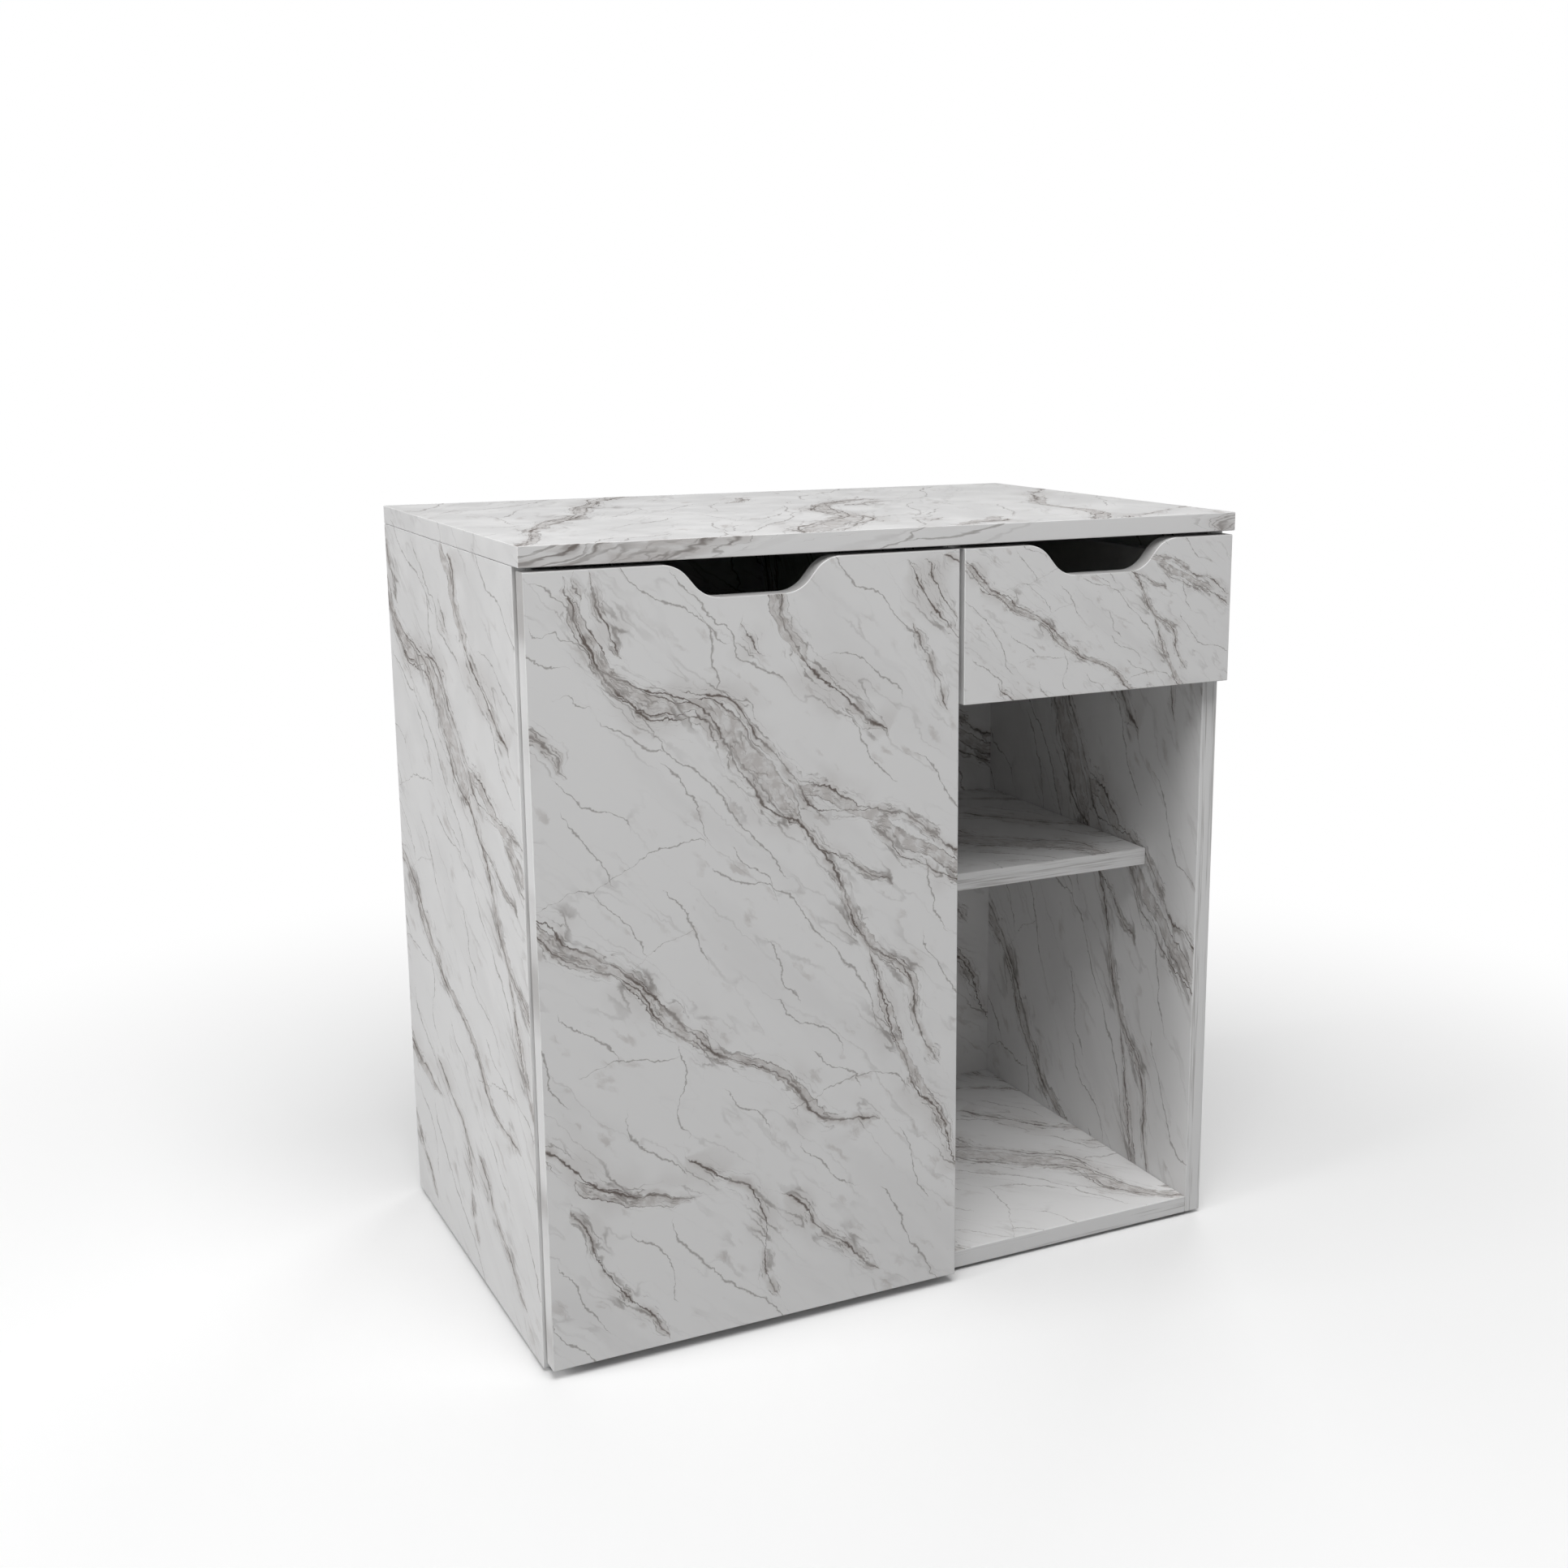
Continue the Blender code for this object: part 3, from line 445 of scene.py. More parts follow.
def share_of_span(tree, distance, start):
    """A sum or difference of across and down, as a share of the span along or off the diagonal."""
    scale = 1 / (math.sqrt(2) * SHEET_SPAN * MM)
    return calculate(tree, "MULTIPLY_ADD", distance, scale, -start / SHEET_SPAN)


def vein_cores(tree, dark, faint, band, swell, patch):
    """The veins' dark lines, which widen and fade on their way, and the bands' broken outlines."""
    reach = spread(tree, swell, 0.35, 0.65, 0.45, 1.15)
    firm = spread(tree, patch, 0.36, 0.56, 0.6, 1.0)
    dark_core = spread(tree, calculate(tree, "DIVIDE", dark, reach), 1.0, 0.1)
    faint_core = spread(tree, calculate(tree, "DIVIDE", faint, reach), 1.0, 0.0)
    from_rim = calculate(tree, "ABSOLUTE", calculate(tree, "SUBTRACT", band, 0.95))
    broken = spread(tree, patch, 0.35, 0.6, 0.3, 1.0)
    rim = times(tree, spread(tree, from_rim, 0.13, 0.0), broken)
    return most(tree, times(tree, dark_core, firm), times(tree, faint_core, FAINT_SHARE), rim)


def fine_lines(tree, dark, band, total, lean, swell, patch):
    """Threads that keep beside the veins, and wisps drawn out along the diagonal."""
    beside_vein = drawn_out(tree, total, times(tree, dark, VEIN_THREAD_GAP), LINE_STRETCH)
    beside_band = drawn_out(tree, total, times(tree, band, BAND_THREAD_GAP), LINE_STRETCH)
    near_vein = spread(tree, dark, 8.0, 2.0, 0.0, 0.62)
    near_band = spread(tree, band, 1.5, 0.9, 0.0, 0.5)
    vein_threads = times(tree, ridges(tree, beside_vein, THREAD_SIZE, 0.040, 1), near_vein)
    band_threads = times(tree, ridges(tree, beside_band, THREAD_SIZE, 0.040, 1), near_band)
    threads = most(tree, vein_threads, band_threads)
    threads = times(tree, threads, spread(tree, swell, 0.35, 0.55, 0.3, 1.0))
    wisps = ridges(tree, drawn_out(tree, total, lean, LINE_STRETCH), WISP_SIZE, 0.020, 3)
    around = spread(tree, dark, 12.0, 3.0, 0.25, 0.9)
    wisps = times(tree, wisps, times(tree, around, spread(tree, patch, 0.4, 0.6, 0.1, 0.7)))
    return most(tree, threads, wisps)


def soft_bodies(tree, dark, band, place, total, lean, swell, patch):
    """The grey that the veins lie in: a body round each dark vein, smoky bands, mist and smudges."""
    body = times(tree, spread(tree, dark, 4.6, 1.0), spread(tree, swell, 0.38, 0.62, 0.1, 0.75))
    smoke = noise(tree, place, SMOKE_SIZE, 4).outputs["Fac"]
    fill = times(tree, spread(tree, band, 1.08, 0.9), spread(tree, smoke, 0.3, 0.65, 0.25, 0.95))
    mist = times(tree, spread(tree, dark, 18.0, 2.0), spread(tree, patch, 0.42, 0.7, 0.0, 0.42))
    smudge = noise(tree, drawn_out(tree, total, lean, SMUDGE_STRETCH), SMUDGE_SIZE, 4).outputs["Fac"]
    smudge = spread(tree, smudge, 0.60, 0.78, 0.0, 0.75)
    return most(tree, body, fill, mist, times(tree, smudge, spread(tree, patch, 0.42, 0.58)))


def marble_print_group():
    """The sheet's print at a place across and down it, in metres."""
    group, given, result = new_group(
        "marble_print",
        [("Position", "Vector", None), ("Vein Strength", "Float", 1.0)],
        [("Color", "Color")],
    )
    position = given.outputs["Position"]
    strength = given.outputs["Vein Strength"]
    swell = noise(group, position, SWELL_SIZE, 3).outputs["Fac"]
    patch = noise(group, position, PATCH_SIZE, 2).outputs["Fac"]
    place = position
    for size, detail, push in VEIN_WARPS:
        place = warp(group, place, size, detail, push)
    parts = add_node(group, "SeparateXYZ", {0: place}).outputs
    total = calculate(group, "ADD", parts[0], parts[1])
    lean = calculate(group, "SUBTRACT", parts[1], parts[0])
    along = share_of_span(group, total, SHEET_START[0])
    off = share_of_span(group, lean, SHEET_START[1])
    dark = nearest_vein(group, along, off, DARK_VEINS)
    faint = nearest_vein(group, along, off, FAINT_VEINS)
    band = nearest_vein(group, along, off, VEIN_BANDS)

    cores = vein_cores(group, dark, faint, band, swell, patch)
    lines = fine_lines(group, dark, band, total, lean, swell, patch)
    soft = soft_bodies(group, dark, band, place, total, lean, swell, patch)
    cloud = noise(group, drawn_out(group, total, lean, LINE_STRETCH), CLOUD_SIZE, 4).outputs["Fac"]
    colour = blend_colour(group, spread(group, cloud, 0.48, 0.72, 0.0, 0.6), STONE_LIGHT, STONE_SHADE)
    soft = times(group, soft, times(group, strength, SOFT_SHARE))
    colour = blend_colour(group, soft, colour, VEIN_SOFT)
    core = times(group, most(group, cores, lines), times(group, strength, DARK_SHARE))
    colour = blend_colour(group, core, colour, VEIN_DARK)
    group.links.new(colour, result.inputs["Color"])
    return group


def streaks_group():
    """Banding's long streaks: the print drawn out along a board's edge."""
    group, given, result = new_group(
        "banding_streaks", [("Position", "Vector", None)], [("Color", "Color")]
    )
    inputs = {"Vector": given.outputs["Position"], "Scale": (STREAK_STRETCH, 1, 1)}
    drawn = add_node(group, "Mapping", inputs).outputs[0]
    wide = noise(group, drawn, WIDE_STREAK, 2).outputs["Fac"]
    fine = noise(group, drawn, FINE_STREAK, 2).outputs["Fac"]
    both = calculate(group, "MULTIPLY_ADD", fine, 0.55, times(group, wide, 0.65))
    colour = blend_colour(group, spread(group, both, 0.60, 0.84), BAND_LIGHT, BAND_STREAK)
    group.links.new(colour, result.inputs["Color"])
    return group


def grain_group():
    """A moulded, rolled or coated surface: fine lumps for the bump, and handled patches."""
    group, given, result = new_group(
        "surface_grain",
        [("Position", "Vector", None), ("Grain Size", "Float", 0.001)],
        [("Height", "Float"), ("Handled", "Float")],
    )
    scale = calculate(group, "DIVIDE", 1.0, given.outputs["Grain Size"])
    grain = noise(group, given.outputs["Position"], 0.001, 2, flat=False)
    group.links.new(scale, grain.inputs["Scale"])
    handled = noise(group, given.outputs["Position"], HANDLED_SIZE, 3, flat=False).outputs["Fac"]
    group.links.new(grain.outputs["Fac"], result.inputs["Height"])
    group.links.new(spread(group, handled, 0.35, 0.7), result.inputs["Handled"])
    return group


MARBLE_PRINT = marble_print_group()
STREAKS = streaks_group()
GRAIN = grain_group()


# Materials


def new_material(name, **values):
    """A material, its tree and its shader, with the shader's constant values set."""
    made = bpy.data.materials.new(name)
    made.use_nodes = True
    tree = made.node_tree
    shader = tree.nodes["Principled BSDF"]
    for socket, value in values.items():
        shader.inputs[socket.replace("_", " ")].default_value = value
    place = tree.nodes.new("ShaderNodeTexCoord").outputs["Object"]
    return made, tree, shader, place


def add_grain(tree, shader, place, size, depth, rough):
    """Fine bump, and roughness between two values."""
    grain = use_group(tree, GRAIN, position=place, grain_size=size)
    inputs = {"Height": grain.outputs["Height"], "Strength": GRAIN_STRENGTH, "Distance": depth}
    bump = add_node(tree, "Bump", inputs)
    tree.links.new(bump.outputs[0], shader.inputs["Normal"])
    roughness = spread(tree, grain.outputs["Handled"], 0, 1, *rough)
    tree.links.new(roughness, shader.inputs["Roughness"])


def sheet_place(tree, place, axes, scale=(1, 1), offset=(0, 0)):
    """The place on a printed sheet: two axes of the object, each scaled and moved."""
    parts = add_node(tree, "SeparateXYZ", {0: place}).outputs
    across, down = axes
    flat = add_node(tree, "CombineXYZ", {0: parts[across], 1: parts[down]}).outputs[0]
    inputs = {"Vector": flat, "Scale": (*scale, 1), "Location": (*offset, 0)}
    return add_node(tree, "Mapping", inputs).outputs[0]


def marble(name, axes, layout, corner=(0, 0), strength=1.0):
    """Matt laminate with the marble print, laid so that its starting point falls on the corner."""
    made, tree, shader, place = new_material(name, Specular_IOR_Level=LAMINATE_GLOSS)
    scale, start = layout
    offset = [start[i] - scale[i] * corner[i] for i in range(2)]
    on_sheet = sheet_place(tree, place, axes, scale, offset)
    stone = use_group(tree, MARBLE_PRINT, position=on_sheet, vein_strength=strength)
    tree.links.new(stone.outputs["Color"], shader.inputs["Base Color"])
    add_grain(tree, shader, place, 0.0011, 0.00005, (0.34, 0.46))
    return made


def banding(name, along, across):
    """Edge banding: the print drawn out into streaks along the edge."""
    made, tree, shader, place = new_material(name, Specular_IOR_Level=LAMINATE_GLOSS)
    streaks = use_group(tree, STREAKS, position=sheet_place(tree, place, (along, across)))
    tree.links.new(streaks.outputs["Color"], shader.inputs["Base Color"])
    add_grain(tree, shader, place, 0.0009, 0.00006, (0.38, 0.50))
    return made


def plain(name, colour, darkest, size, rough, **values):
    """A plain finish whose colour drifts down to a share of itself, and whose grain is size across."""
    made, tree, shader, place = new_material(name, **values)
    mottle = (*[channel * darkest for channel in colour[:3]], 1)
    cloud = noise(tree, place, MOTTLE_SIZE, 3, flat=False).outputs["Fac"]
    mixed = blend_colour(tree, spread(tree, cloud, 0.35, 0.7), colour, mottle)
    tree.links.new(mixed, shader.inputs["Base Color"])
    add_grain(tree, shader, place, size, size / 12, rough)
    return made


def marble_looks():
    """Each board's print. The outside boards' prints start at the board's own corner."""
    door_low, door_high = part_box("door_panel")
    drawer_low, drawer_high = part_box("drawer_front")
    side_low, side_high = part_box("left_side_panel")
    top_low, top_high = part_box("top_panel")
    door_corner = (door_low.x, door_high.z)
    drawer_corner = (drawer_low.x, drawer_high.z)
    rear_corner = (side_high.y, side_high.z)
    front_corner = (side_low.y, side_high.z)
    top_corner = (top_high.y, top_low.x)
    return {
        "door_face": marble("marble_door", FRONT_AXES, DOOR_PRINT, door_corner),
        "drawer_face": marble("marble_drawer", FRONT_AXES, DRAWER_PRINT, drawer_corner),
        "left_side": marble("marble_left_side", SIDE_AXES, LEFT_SIDE_PRINT, rear_corner),
        "right_side": marble("marble_right_side", SIDE_AXES, RIGHT_SIDE_PRINT, front_corner),
        "top_face": marble("marble_top", LYING_AXES, TOP_PRINT, top_corner),
        "inner_upright": marble("marble_inner_upright", SIDE_AXES, INNER_UPRIGHT_PRINT),
        "back_face": marble("marble_back_face", FRONT_AXES, BACK_PRINT),
        "level_face": marble("marble_level", LYING_AXES, LEVEL_PRINT, strength=PALER_PRINT),
        "top_edge_front": marble("marble_top_front", FRONT_AXES, TOP_FRONT_PRINT, strength=PALER_PRINT),
    }


def banding_looks():
    """Banding for edges that run along X, Y and Z."""
    return {
        "banding_x": banding("banding_across", 0, 2),
        "banding_y": banding("banding_deep", 1, 2),
        "banding_z": banding("banding_upright", 2, 0),
    }


def plain_looks():
    """The plain finishes, each with its grain's size and its roughness from and to."""
    return {
        "notch": plain("notch_banding", CUT_EDGE, 0.93, 0.0008, (0.42, 0.55)),
        "white_laminate": plain("white_laminate", BOX_WHITE, 0.97, 0.0009, (0.42, 0.56)),
        "white_plastic": plain("white_plastic", PLASTIC_WHITE, 0.94, 0.0006, (0.32, 0.45)),
        "clear_pad": plain(
            "clear_pad", PAD_CLEAR, 0.92, 0.0005, (0.18, 0.30), Transmission_Weight=0.6
        ),
        "nickel_steel": plain("nickel_steel", NICKEL, 0.82, 0.0005, (0.20, 0.36), Metallic=1.0),
        "zinc_steel": plain("zinc_steel", ZINC, 0.80, 0.0007, (0.28, 0.46), Metallic=1.0),
    }


LOOKS = {**marble_looks(), **banding_looks(), **plain_looks()}


# Mesh helpers


def add_object(name, mesh):
    made = bpy.data.objects.new(name, mesh)
    bpy.context.scene.collection.objects.link(made)
    return made


def finished(made, body, slot, *nodes):
    """Puts a finished piece on its body and hides the nodes that it stands for. Its slot is not used."""
    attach(made, body)
    if nodes:
        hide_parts(*nodes)


def smooth(made):
    """Smooth shading that keeps flat faces flat and real corners sharp."""
    made.data.shade_smooth()
    made.data.set_sharp_from_angle(angle=SMOOTH_ANGLE)
    even = made.modifiers.new("even_normals", "WEIGHTED_NORMAL")
    even.keep_sharp = True
    even.weight = 100


def ease_edges(made, width, steps=2):
    ease = made.modifiers.new("eased_edges", "BEVEL")
    ease.width = width
    ease.segments = steps
    ease.limit_method = "ANGLE"
    ease.angle_limit = EDGE_ANGLE
    ease.use_clamp_overlap = True


def copied_mesh(node):
    """The node's shape as one joined mesh with whole flat faces."""
    shape = bmesh.new()
    shape.from_mesh(frame["nodes"][node].data)
    bmesh.ops.remove_doubles(shape, verts=shape.verts, dist=JOIN_WITHIN)
    bmesh.ops.dissolve_limit(shape, angle_limit=FLAT_ANGLE, verts=shape.verts, edges=shape.edges)
    mesh = bpy.data.meshes.new(node)
    shape.to_mesh(mesh)
    shape.free()
    mesh.materials.clear()
    return mesh


def paint_faces(mesh, choose):
    """Gives each face the look that choose names for its centre and its outward direction."""
    names = []
    for face in mesh.polygons:
        name = choose(face.center, face.normal)
        if name not in names:
            names.append(name)
            mesh.materials.append(LOOKS[name])
        face.material_index = names.index(name)


def by_direction(front=None, rear=None, left=None, right=None, top=None, under=None):
    """A choice of look by the way that a face mostly points."""
    ways = [(-Y, front), (Y, rear), (-X, left), (X, right), (Z, top), (-Z, under)]

    def choose(centre, normal):
        return max(ways, key=lambda way: normal.dot(way[0]))[1]

    return choose


def detailed(node, looks, slot, width=None):
    """A node's shape with eased edges, its look chosen face by face."""
    made = add_object(f"{node}_finish", copied_mesh(node))
    if isinstance(looks, str):
        made.data.materials.append(LOOKS[looks])
    else:
        paint_faces(made.data, looks)
    if width:
        ease_edges(made, width)
    smooth(made)
    finished(made, frame["nodes"][node]["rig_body"], slot, node)


# Boards


def upright(left, right):
    """A side or divider: print on both faces, streaks on its edges."""
    return by_direction(
        front="banding_z", rear="banding_z", left=left, right=right, top="banding_y", under="banding_y"
    )


def level():
    """A lying board: print above and below, streaks round its edges."""
    return by_direction(
        front="banding_x",
        rear="banding_x",
        left="banding_y",
        right="banding_y",
        top="level_face",
        under="level_face",
    )


def make_carcass():
    top = by_direction(
        front="top_edge_front",
        rear="top_edge_front",
        left="left_side",
        right="right_side",
        top="top_face",
        under="level_face",
    )
    detailed("top_panel", top, "marble_laminate")
    detailed("left_side_panel", upright("left_side", "inner_upright"), "marble_laminate")
    detailed("right_side_panel", upright("inner_upright", "right_side"), "marble_laminate")
    detailed("divider_panel", upright("inner_upright", "inner_upright"), "marble_laminate")
    for node in ("bottom_panel", "niche_top_panel", "niche_shelf", "door_shelf"):
        detailed(node, level(), "marble_laminate")
    rail = by_direction(
        front="back_face",
        rear="back_face",
        left="banding_z",
        right="banding_z",
        top="banding_x",
        under="banding_x",
    )
    detailed("rear_rail", rail, "marble_laminate")
    back = by_direction(
        front="back_face",
        rear="white_laminate",
        left="notch",
        right="notch",
        top="notch",
        under="notch",
    )
    detailed("back_panel", back, "marble_back", THIN_BOARD_EDGE)


def notch_side(run, depth):
    """Points down one side of the finger notch: a rounded shoulder, a short slope and a fillet."""
    slope = NOTCH_SLOPE_SHARE * 2 * math.atan2(depth, run)
    radius = (run * math.sin(slope) - depth * math.cos(slope)) / (1 - math.cos(slope)) / 2
    steps = [slope * i / NOTCH_ARC_STEPS for i in range(NOTCH_ARC_STEPS + 1)]
    shoulder = [(radius * math.sin(a), radius * (math.cos(a) - 1)) for a in steps]
    fillet = [(run - x, -depth - z) for x, z in reversed(shoulder)]
    return shoulder + fillet


def front_outline(low, high):
    """A front's outline with the finger notch in the middle of its top edge."""
    middle = (low.x + high.x) / 2
    half_top = NOTCH_TOP_WIDTH / 2
    side = notch_side(half_top - NOTCH_FLOOR_WIDTH / 2, NOTCH_DEPTH)
    going_down = [(middle - half_top + x, high.z + z) for x, z in side]
    going_up = [(2 * middle - x, z) for x, z in reversed(going_down)]
    corners_left = [(low.x, low.z), (low.x, high.z)]
    corners_right = [(high.x, high.z), (high.x, low.z)]
    return [*corners_left, *going_down, *going_up, *corners_right]


def upright_prism(name, outline, front, rear):
    """An outline of (x, z) points, as a board from front to rear along Y."""
    shape = bmesh.new()
    face = shape.faces.new([shape.verts.new((x, front, z)) for x, z in outline])
    grown = bmesh.ops.extrude_face_region(shape, geom=[face])["geom"]
    pushed = [item for item in grown if isinstance(item, bmesh.types.BMVert)]
    bmesh.ops.translate(shape, vec=(0, rear - front, 0), verts=pushed)
    bmesh.ops.recalc_face_normals(shape, faces=shape.faces)
    mesh = bpy.data.meshes.new(name)
    shape.to_mesh(mesh)
    shape.free()
    return mesh


def turned_mesh(name, profile, sides=32):
    """A solid turned about +Z from (radius, height) steps, listed from the bottom up."""
    shape = bmesh.new()
    steps = [2 * math.pi * i / sides for i in range(sides)]
    rings = [
        [shape.verts.new((radius * math.cos(a), radius * math.sin(a), height)) for a in steps]
        for radius, height in profile
    ]
    for lower, upper in zip(rings, rings[1:]):
        for i in range(sides):
            j = (i + 1) % sides
            shape.faces.new((lower[i], lower[j], upper[j], upper[i]))
    shape.faces.new(reversed(rings[0]))
    shape.faces.new(rings[-1])
    mesh = bpy.data.meshes.new(name)
    shape.to_mesh(mesh)
    shape.free()
    return mesh


def facing(direction):
    """A turn that sends +Z to a level direction and +X to +Z."""
    return Matrix((Z, direction.cross(Z), direction)).transposed().to_4x4()


def cut(made, *cutters):
    """Cuts the cutters out of a piece, and leaves its plain mesh behind."""
    for cutter in cutters:
        step = made.modifiers.new(cutter.name, "BOOLEAN")
        step.object = cutter
        step.solver = "EXACT"
    graph = bpy.context.evaluated_depsgraph_get()
    mesh = bpy.data.meshes.new_from_object(made.evaluated_get(graph))
    made.modifiers.clear()
    made.data = mesh
    for cutter in cutters:
        bpy.data.objects.remove(cutter)


def box_cutter(low, high):
    shape = bmesh.new()
    bmesh.ops.create_cube(shape, size=1)
    size = Vector(high) - Vector(low)
    bmesh.ops.scale(shape, vec=size, verts=shape.verts)
    bmesh.ops.translate(shape, vec=(Vector(low) + Vector(high)) / 2, verts=shape.verts)
    mesh = bpy.data.meshes.new("cutter")
    shape.to_mesh(mesh)
    shape.free()
    return add_object("cutter", mesh)


def bore_cutter(radius, start):
    """A round bore that runs from start towards the rear."""
    mesh = turned_mesh("cutter", [(radius, 0), (radius, BORE_DEPTH)], BORE_SIDES)
    mesh.transform(Matrix.Translation(start) @ facing(Y))
    return add_object("cutter", mesh)


def make_front(node, face, cutters):
    """A notched front: print on its face and back, streaked banding on its sides, plain in its notch."""
    low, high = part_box(node)
    mesh = upright_prism(node, front_outline(low, high), low.y, high.y)
    made = add_object(f"{node}_finish", mesh)
    ease_edges(made, EDGE_ROUND, EDGE_STEPS)
    cut(made, *cutters)
    sides = by_direction(
        front=face, rear=face, left="banding_z", right="banding_z", top="notch", under="banding_x"
    )

    def choose(centre, normal):
        along_top = centre.z > high.z - NOTCH_DEPTH - MM and low.x + MM < centre.x < high.x - MM
        across_board = abs(normal.y) < FACES_FRONT
        return "notch" if along_top and across_board else sides(centre, normal)

    paint_faces(made.data, choose)
    smooth(made)
    finished(made, frame["nodes"][node]["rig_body"], "marble_laminate", node)


def make_door():
    cutters = []
    for end in ("lower", "upper"):
        low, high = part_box(f"hinge_cup_{end}")
        radius = (high.x - low.x) / 2
        start = ((low.x + high.x) / 2, low.y - FIT, (low.z + high.z) / 2)
        cutters.append(bore_cutter(radius + FIT, start))
    make_front("door_panel", "door_face", cutters)


def make_drawer_front():
    low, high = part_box("drawer_bottom")
    rim = Vector((FIT, FIT, FIT))
    make_front("drawer_front", "drawer_face", [box_cutter(low - rim, high + rim)])


def make_drawer():
    for node in ("drawer_left_side", "drawer_right_side", "drawer_back"):
        detailed(node, "white_laminate", "white_laminate")
    detailed("drawer_bottom", "white_laminate", "white_laminate", THIN_BOARD_EDGE)


# Fittings


def make_fittings():
    for node in frame["nodes"]:
        if "_pin_" in node or node.startswith("glide_"):
            detailed(node, "white_plastic", "white_plastic", FINE_EDGE)
        elif node.endswith("_bolt") or node.startswith("hinge_"):
            detailed(node, "nickel_steel", "nickel_steel", HINGE_EDGE)
        elif node.endswith("_lock") or node.startswith("slide_"):
            detailed(node, "zinc_steel", "zinc_steel", FINE_EDGE)
        elif node.startswith("door_bumper"):
            detailed(node, "clear_pad", "clear_pad", FINE_EDGE)


def screw_mesh():
    """A low round screw head with a cross recess, standing on its origin along +Z."""
    profile = [
        (SCREW_RADIUS * 0.97, 0),
        (SCREW_RADIUS, SCREW_RISE * 0.3),
        (SCREW_RADIUS * 0.88, SCREW_RISE * 0.8),
        (SCREW_RADIUS * 0.55, SCREW_RISE),
    ]
    head = add_object("screw", turned_mesh("screw", profile))
    half = SCREW_RADIUS * 0.55
    narrow = SCREW_RADIUS * 0.14
    floor = SCREW_RISE * 0.35
    over = SCREW_RISE * 2
    cut(
        head,
        box_cutter((-half, -narrow, floor), (half, narrow, over)),
        box_cutter((-narrow, -half, floor), (narrow, half, over)),
    )
    mesh = head.data
    bpy.data.objects.remove(head)
    mesh.materials.append(LOOKS["nickel_steel"])
    return mesh


def add_screw(name, mesh, place, direction, body):
    screw = add_object(name, mesh)
    screw.matrix_world = Matrix.Translation(place) @ facing(direction)
    finished(screw, body, "nickel_steel")


def make_hinge_screws(mesh):
    """Screws through each cup's flange, each plate's wings and each arm."""
    for end in ("lower", "upper"):
        cup_low, cup_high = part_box(f"hinge_cup_{end}")
        cup = (cup_low + cup_high) / 2
        flange = (cup_high.z - cup_low.z) / 2 - SCREW_RADIUS - MM
        plate_low, plate_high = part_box(f"hinge_plate_{end}")
        plate = (plate_low + plate_high) / 2
        wing = (plate_high.z - plate_low.z) / 2 - SCREW_RADIUS - 2 * MM
        arm_low, arm_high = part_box(f"hinge_arm_{end}")
        for side, sign in (("below", -1), ("above", 1)):
            on_cup = Vector((cup.x, cup_high.y, cup.z + sign * flange))
            add_screw(f"cup_screw_{end}_{side}", mesh, on_cup, Y, "door")
            on_wing = Vector((plate_high.x, plate.y, plate.z + sign * wing))
            add_screw(f"plate_screw_{end}_{side}", mesh, on_wing, X, "carcass")
        for place, share in ARM_SCREWS.items():
            along = arm_low.y + share * (arm_high.y - arm_low.y)
            on_arm = Vector((arm_high.x, along, (arm_low.z + arm_high.z) / 2))
            add_screw(f"arm_screw_{end}_{place}", mesh, on_arm, X, "carcass")


def make_slide_screws(mesh):
    """Screws through each inner channel into the drawer's side."""
    for side, inwards in (("left", 1), ("right", -1)):
        low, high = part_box(f"slide_inner_{side}")
        web = high.x if inwards > 0 else low.x
        face = web - inwards * SLIDE_SHEET
        for place, share in SLIDE_SCREWS.items():
            at = Vector((face, low.y + share * (high.y - low.y), (low.z + high.z) / 2))
            add_screw(f"slide_screw_{side}_{place}", mesh, at, -X * inwards, "drawer")


def make_drawer_caps():
    """Plastic covers over the fittings that hold the drawer's sides to its front and back."""
    profile = [
        (CAP_RADIUS, 0),
        (CAP_RADIUS, CAP_RISE * 0.5),
        (CAP_RADIUS * 0.9, CAP_RISE),
        (CAP_RADIUS * 0.3, CAP_RISE * 1.1),
    ]
    mesh = turned_mesh("drawer_cap", profile)
    mesh.shade_smooth()
    mesh.set_sharp_from_angle(angle=SMOOTH_ANGLE)
    mesh.materials.append(LOOKS["white_plastic"])
    for side, inwards in (("left", 1), ("right", -1)):
        low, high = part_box(f"drawer_{side}_side")
        face = high.x if inwards > 0 else low.x
        for place, y in (("front", low.y + CAP_FROM_END), ("rear", high.y - CAP_FROM_END)):
            cap = add_object(f"drawer_cap_{side}_{place}", mesh)
            at = Vector((face, y, low.z + CAP_HEIGHT_SHARE * (high.z - low.z)))
            cap.matrix_world = Matrix.Translation(at) @ facing(X * inwards)
            finished(cap, "drawer", "white_plastic")


# Studio


def make_camera():
    data = bpy.data.cameras.new("camera")
    data.sensor_width = 36
    data.lens = CAMERA_LENS
    data.shift_x, data.shift_y = CAMERA_SHIFT
    data.clip_start = 0.01
    camera = bpy.data.objects.new("camera", data)
    bpy.context.scene.collection.objects.link(camera)
    camera.location = CAMERA_PLACE
    camera.rotation_euler = (math.pi / 2 + CAMERA_TILT, 0, -CAMERA_TURN)
    bpy.context.scene.camera = camera


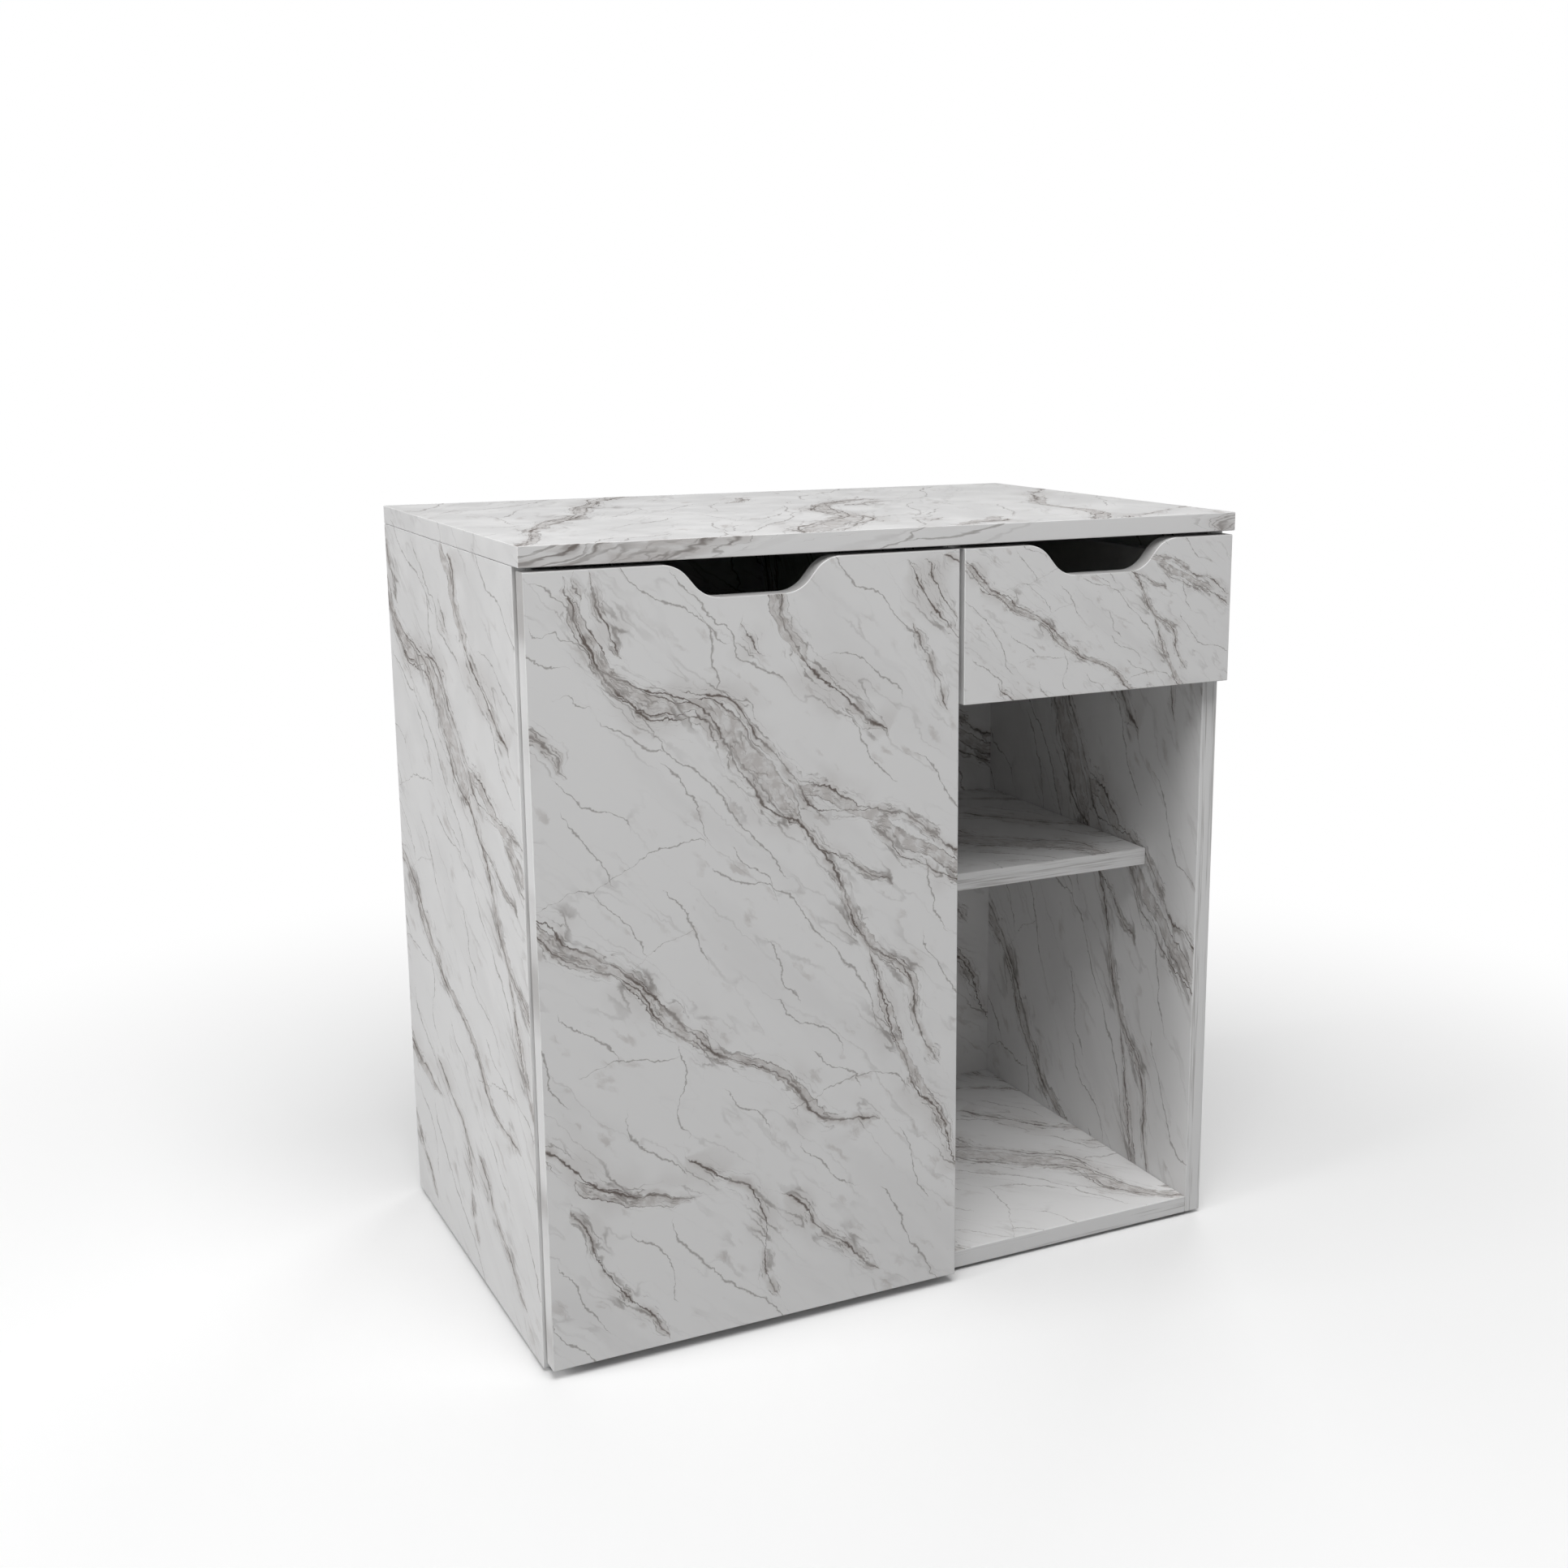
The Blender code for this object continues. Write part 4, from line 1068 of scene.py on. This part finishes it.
def make_floor():
    """A pale floor that fades to white, and throws back less light than it shows."""
    shape = bmesh.new()
    bmesh.ops.create_circle(shape, cap_ends=True, segments=FLOOR_SIDES, radius=FLOOR_RADIUS)
    mesh = bpy.data.meshes.new("floor")
    shape.to_mesh(mesh)
    shape.free()
    floor = add_object("floor", mesh)
    made, tree, shader, place = new_material("pale_floor", Roughness=0.9, Specular_IOR_Level=0.1)
    shader.inputs["Base Color"].default_value = FLOOR_SEEN
    away = add_node(tree, "VectorMath", {0: place}, operation="LENGTH").outputs["Value"]
    glow = add_node(tree, "Emission", {"Color": STUDIO_WHITE, "Strength": 1.0}).outputs[0]
    inputs = {0: spread(tree, away, *FLOOR_FADE), 1: shader.outputs[0], 2: glow}
    shown = add_node(tree, "MixShader", inputs).outputs[0]
    bounce = add_node(tree, "BsdfDiffuse", {"Color": FLOOR_BOUNCE}).outputs[0]
    ray = tree.nodes.new("ShaderNodeLightPath").outputs["Is Camera Ray"]
    mixed = add_node(tree, "MixShader", {0: ray, 1: bounce, 2: shown}).outputs[0]
    tree.links.new(mixed, tree.nodes["Material Output"].inputs["Surface"])
    mesh.materials.append(made)


def make_world():
    """An even light all round, seen by the camera as plain white."""
    world = bpy.data.worlds.new("studio")
    bpy.context.scene.world = world
    world.use_nodes = True
    tree = world.node_tree
    seen = tree.nodes["Background"]
    seen.inputs["Color"].default_value = STUDIO_WHITE
    inputs = {"Color": STUDIO_WHITE, "Strength": AMBIENT_LIGHT}
    ambient = add_node(tree, "Background", inputs).outputs[0]
    ray = tree.nodes.new("ShaderNodeLightPath").outputs["Is Camera Ray"]
    mixed = add_node(tree, "MixShader", {0: ray, 1: ambient, 2: seen.outputs[0]}).outputs[0]
    tree.links.new(mixed, tree.nodes["World Output"].inputs["Surface"])


def make_softbox(name, place, size, power, mirrored):
    """A square soft light that the camera doesn't see, and that shiny surfaces show if it is mirrored."""
    data = bpy.data.lights.new(name, "AREA")
    data.size = size
    data.energy = power
    light = bpy.data.objects.new(name, data)
    bpy.context.scene.collection.objects.link(light)
    light.location = place
    light.visible_camera = False
    light.visible_glossy = mirrored
    light.rotation_euler = (LIGHT_AIM - Vector(place)).to_track_quat("-Z", "Y").to_euler()


def make_studio():
    make_camera()
    make_floor()
    make_world()
    for name, settings in SOFTBOXES.items():
        make_softbox(name, *settings)
    bpy.context.scene.view_settings.view_transform = "Standard"


make_studio()
make_carcass()
make_door()
make_drawer_front()
make_drawer()
make_fittings()
screw = screw_mesh()
make_hinge_screws(screw)
make_slide_screws(screw)
make_drawer_caps()
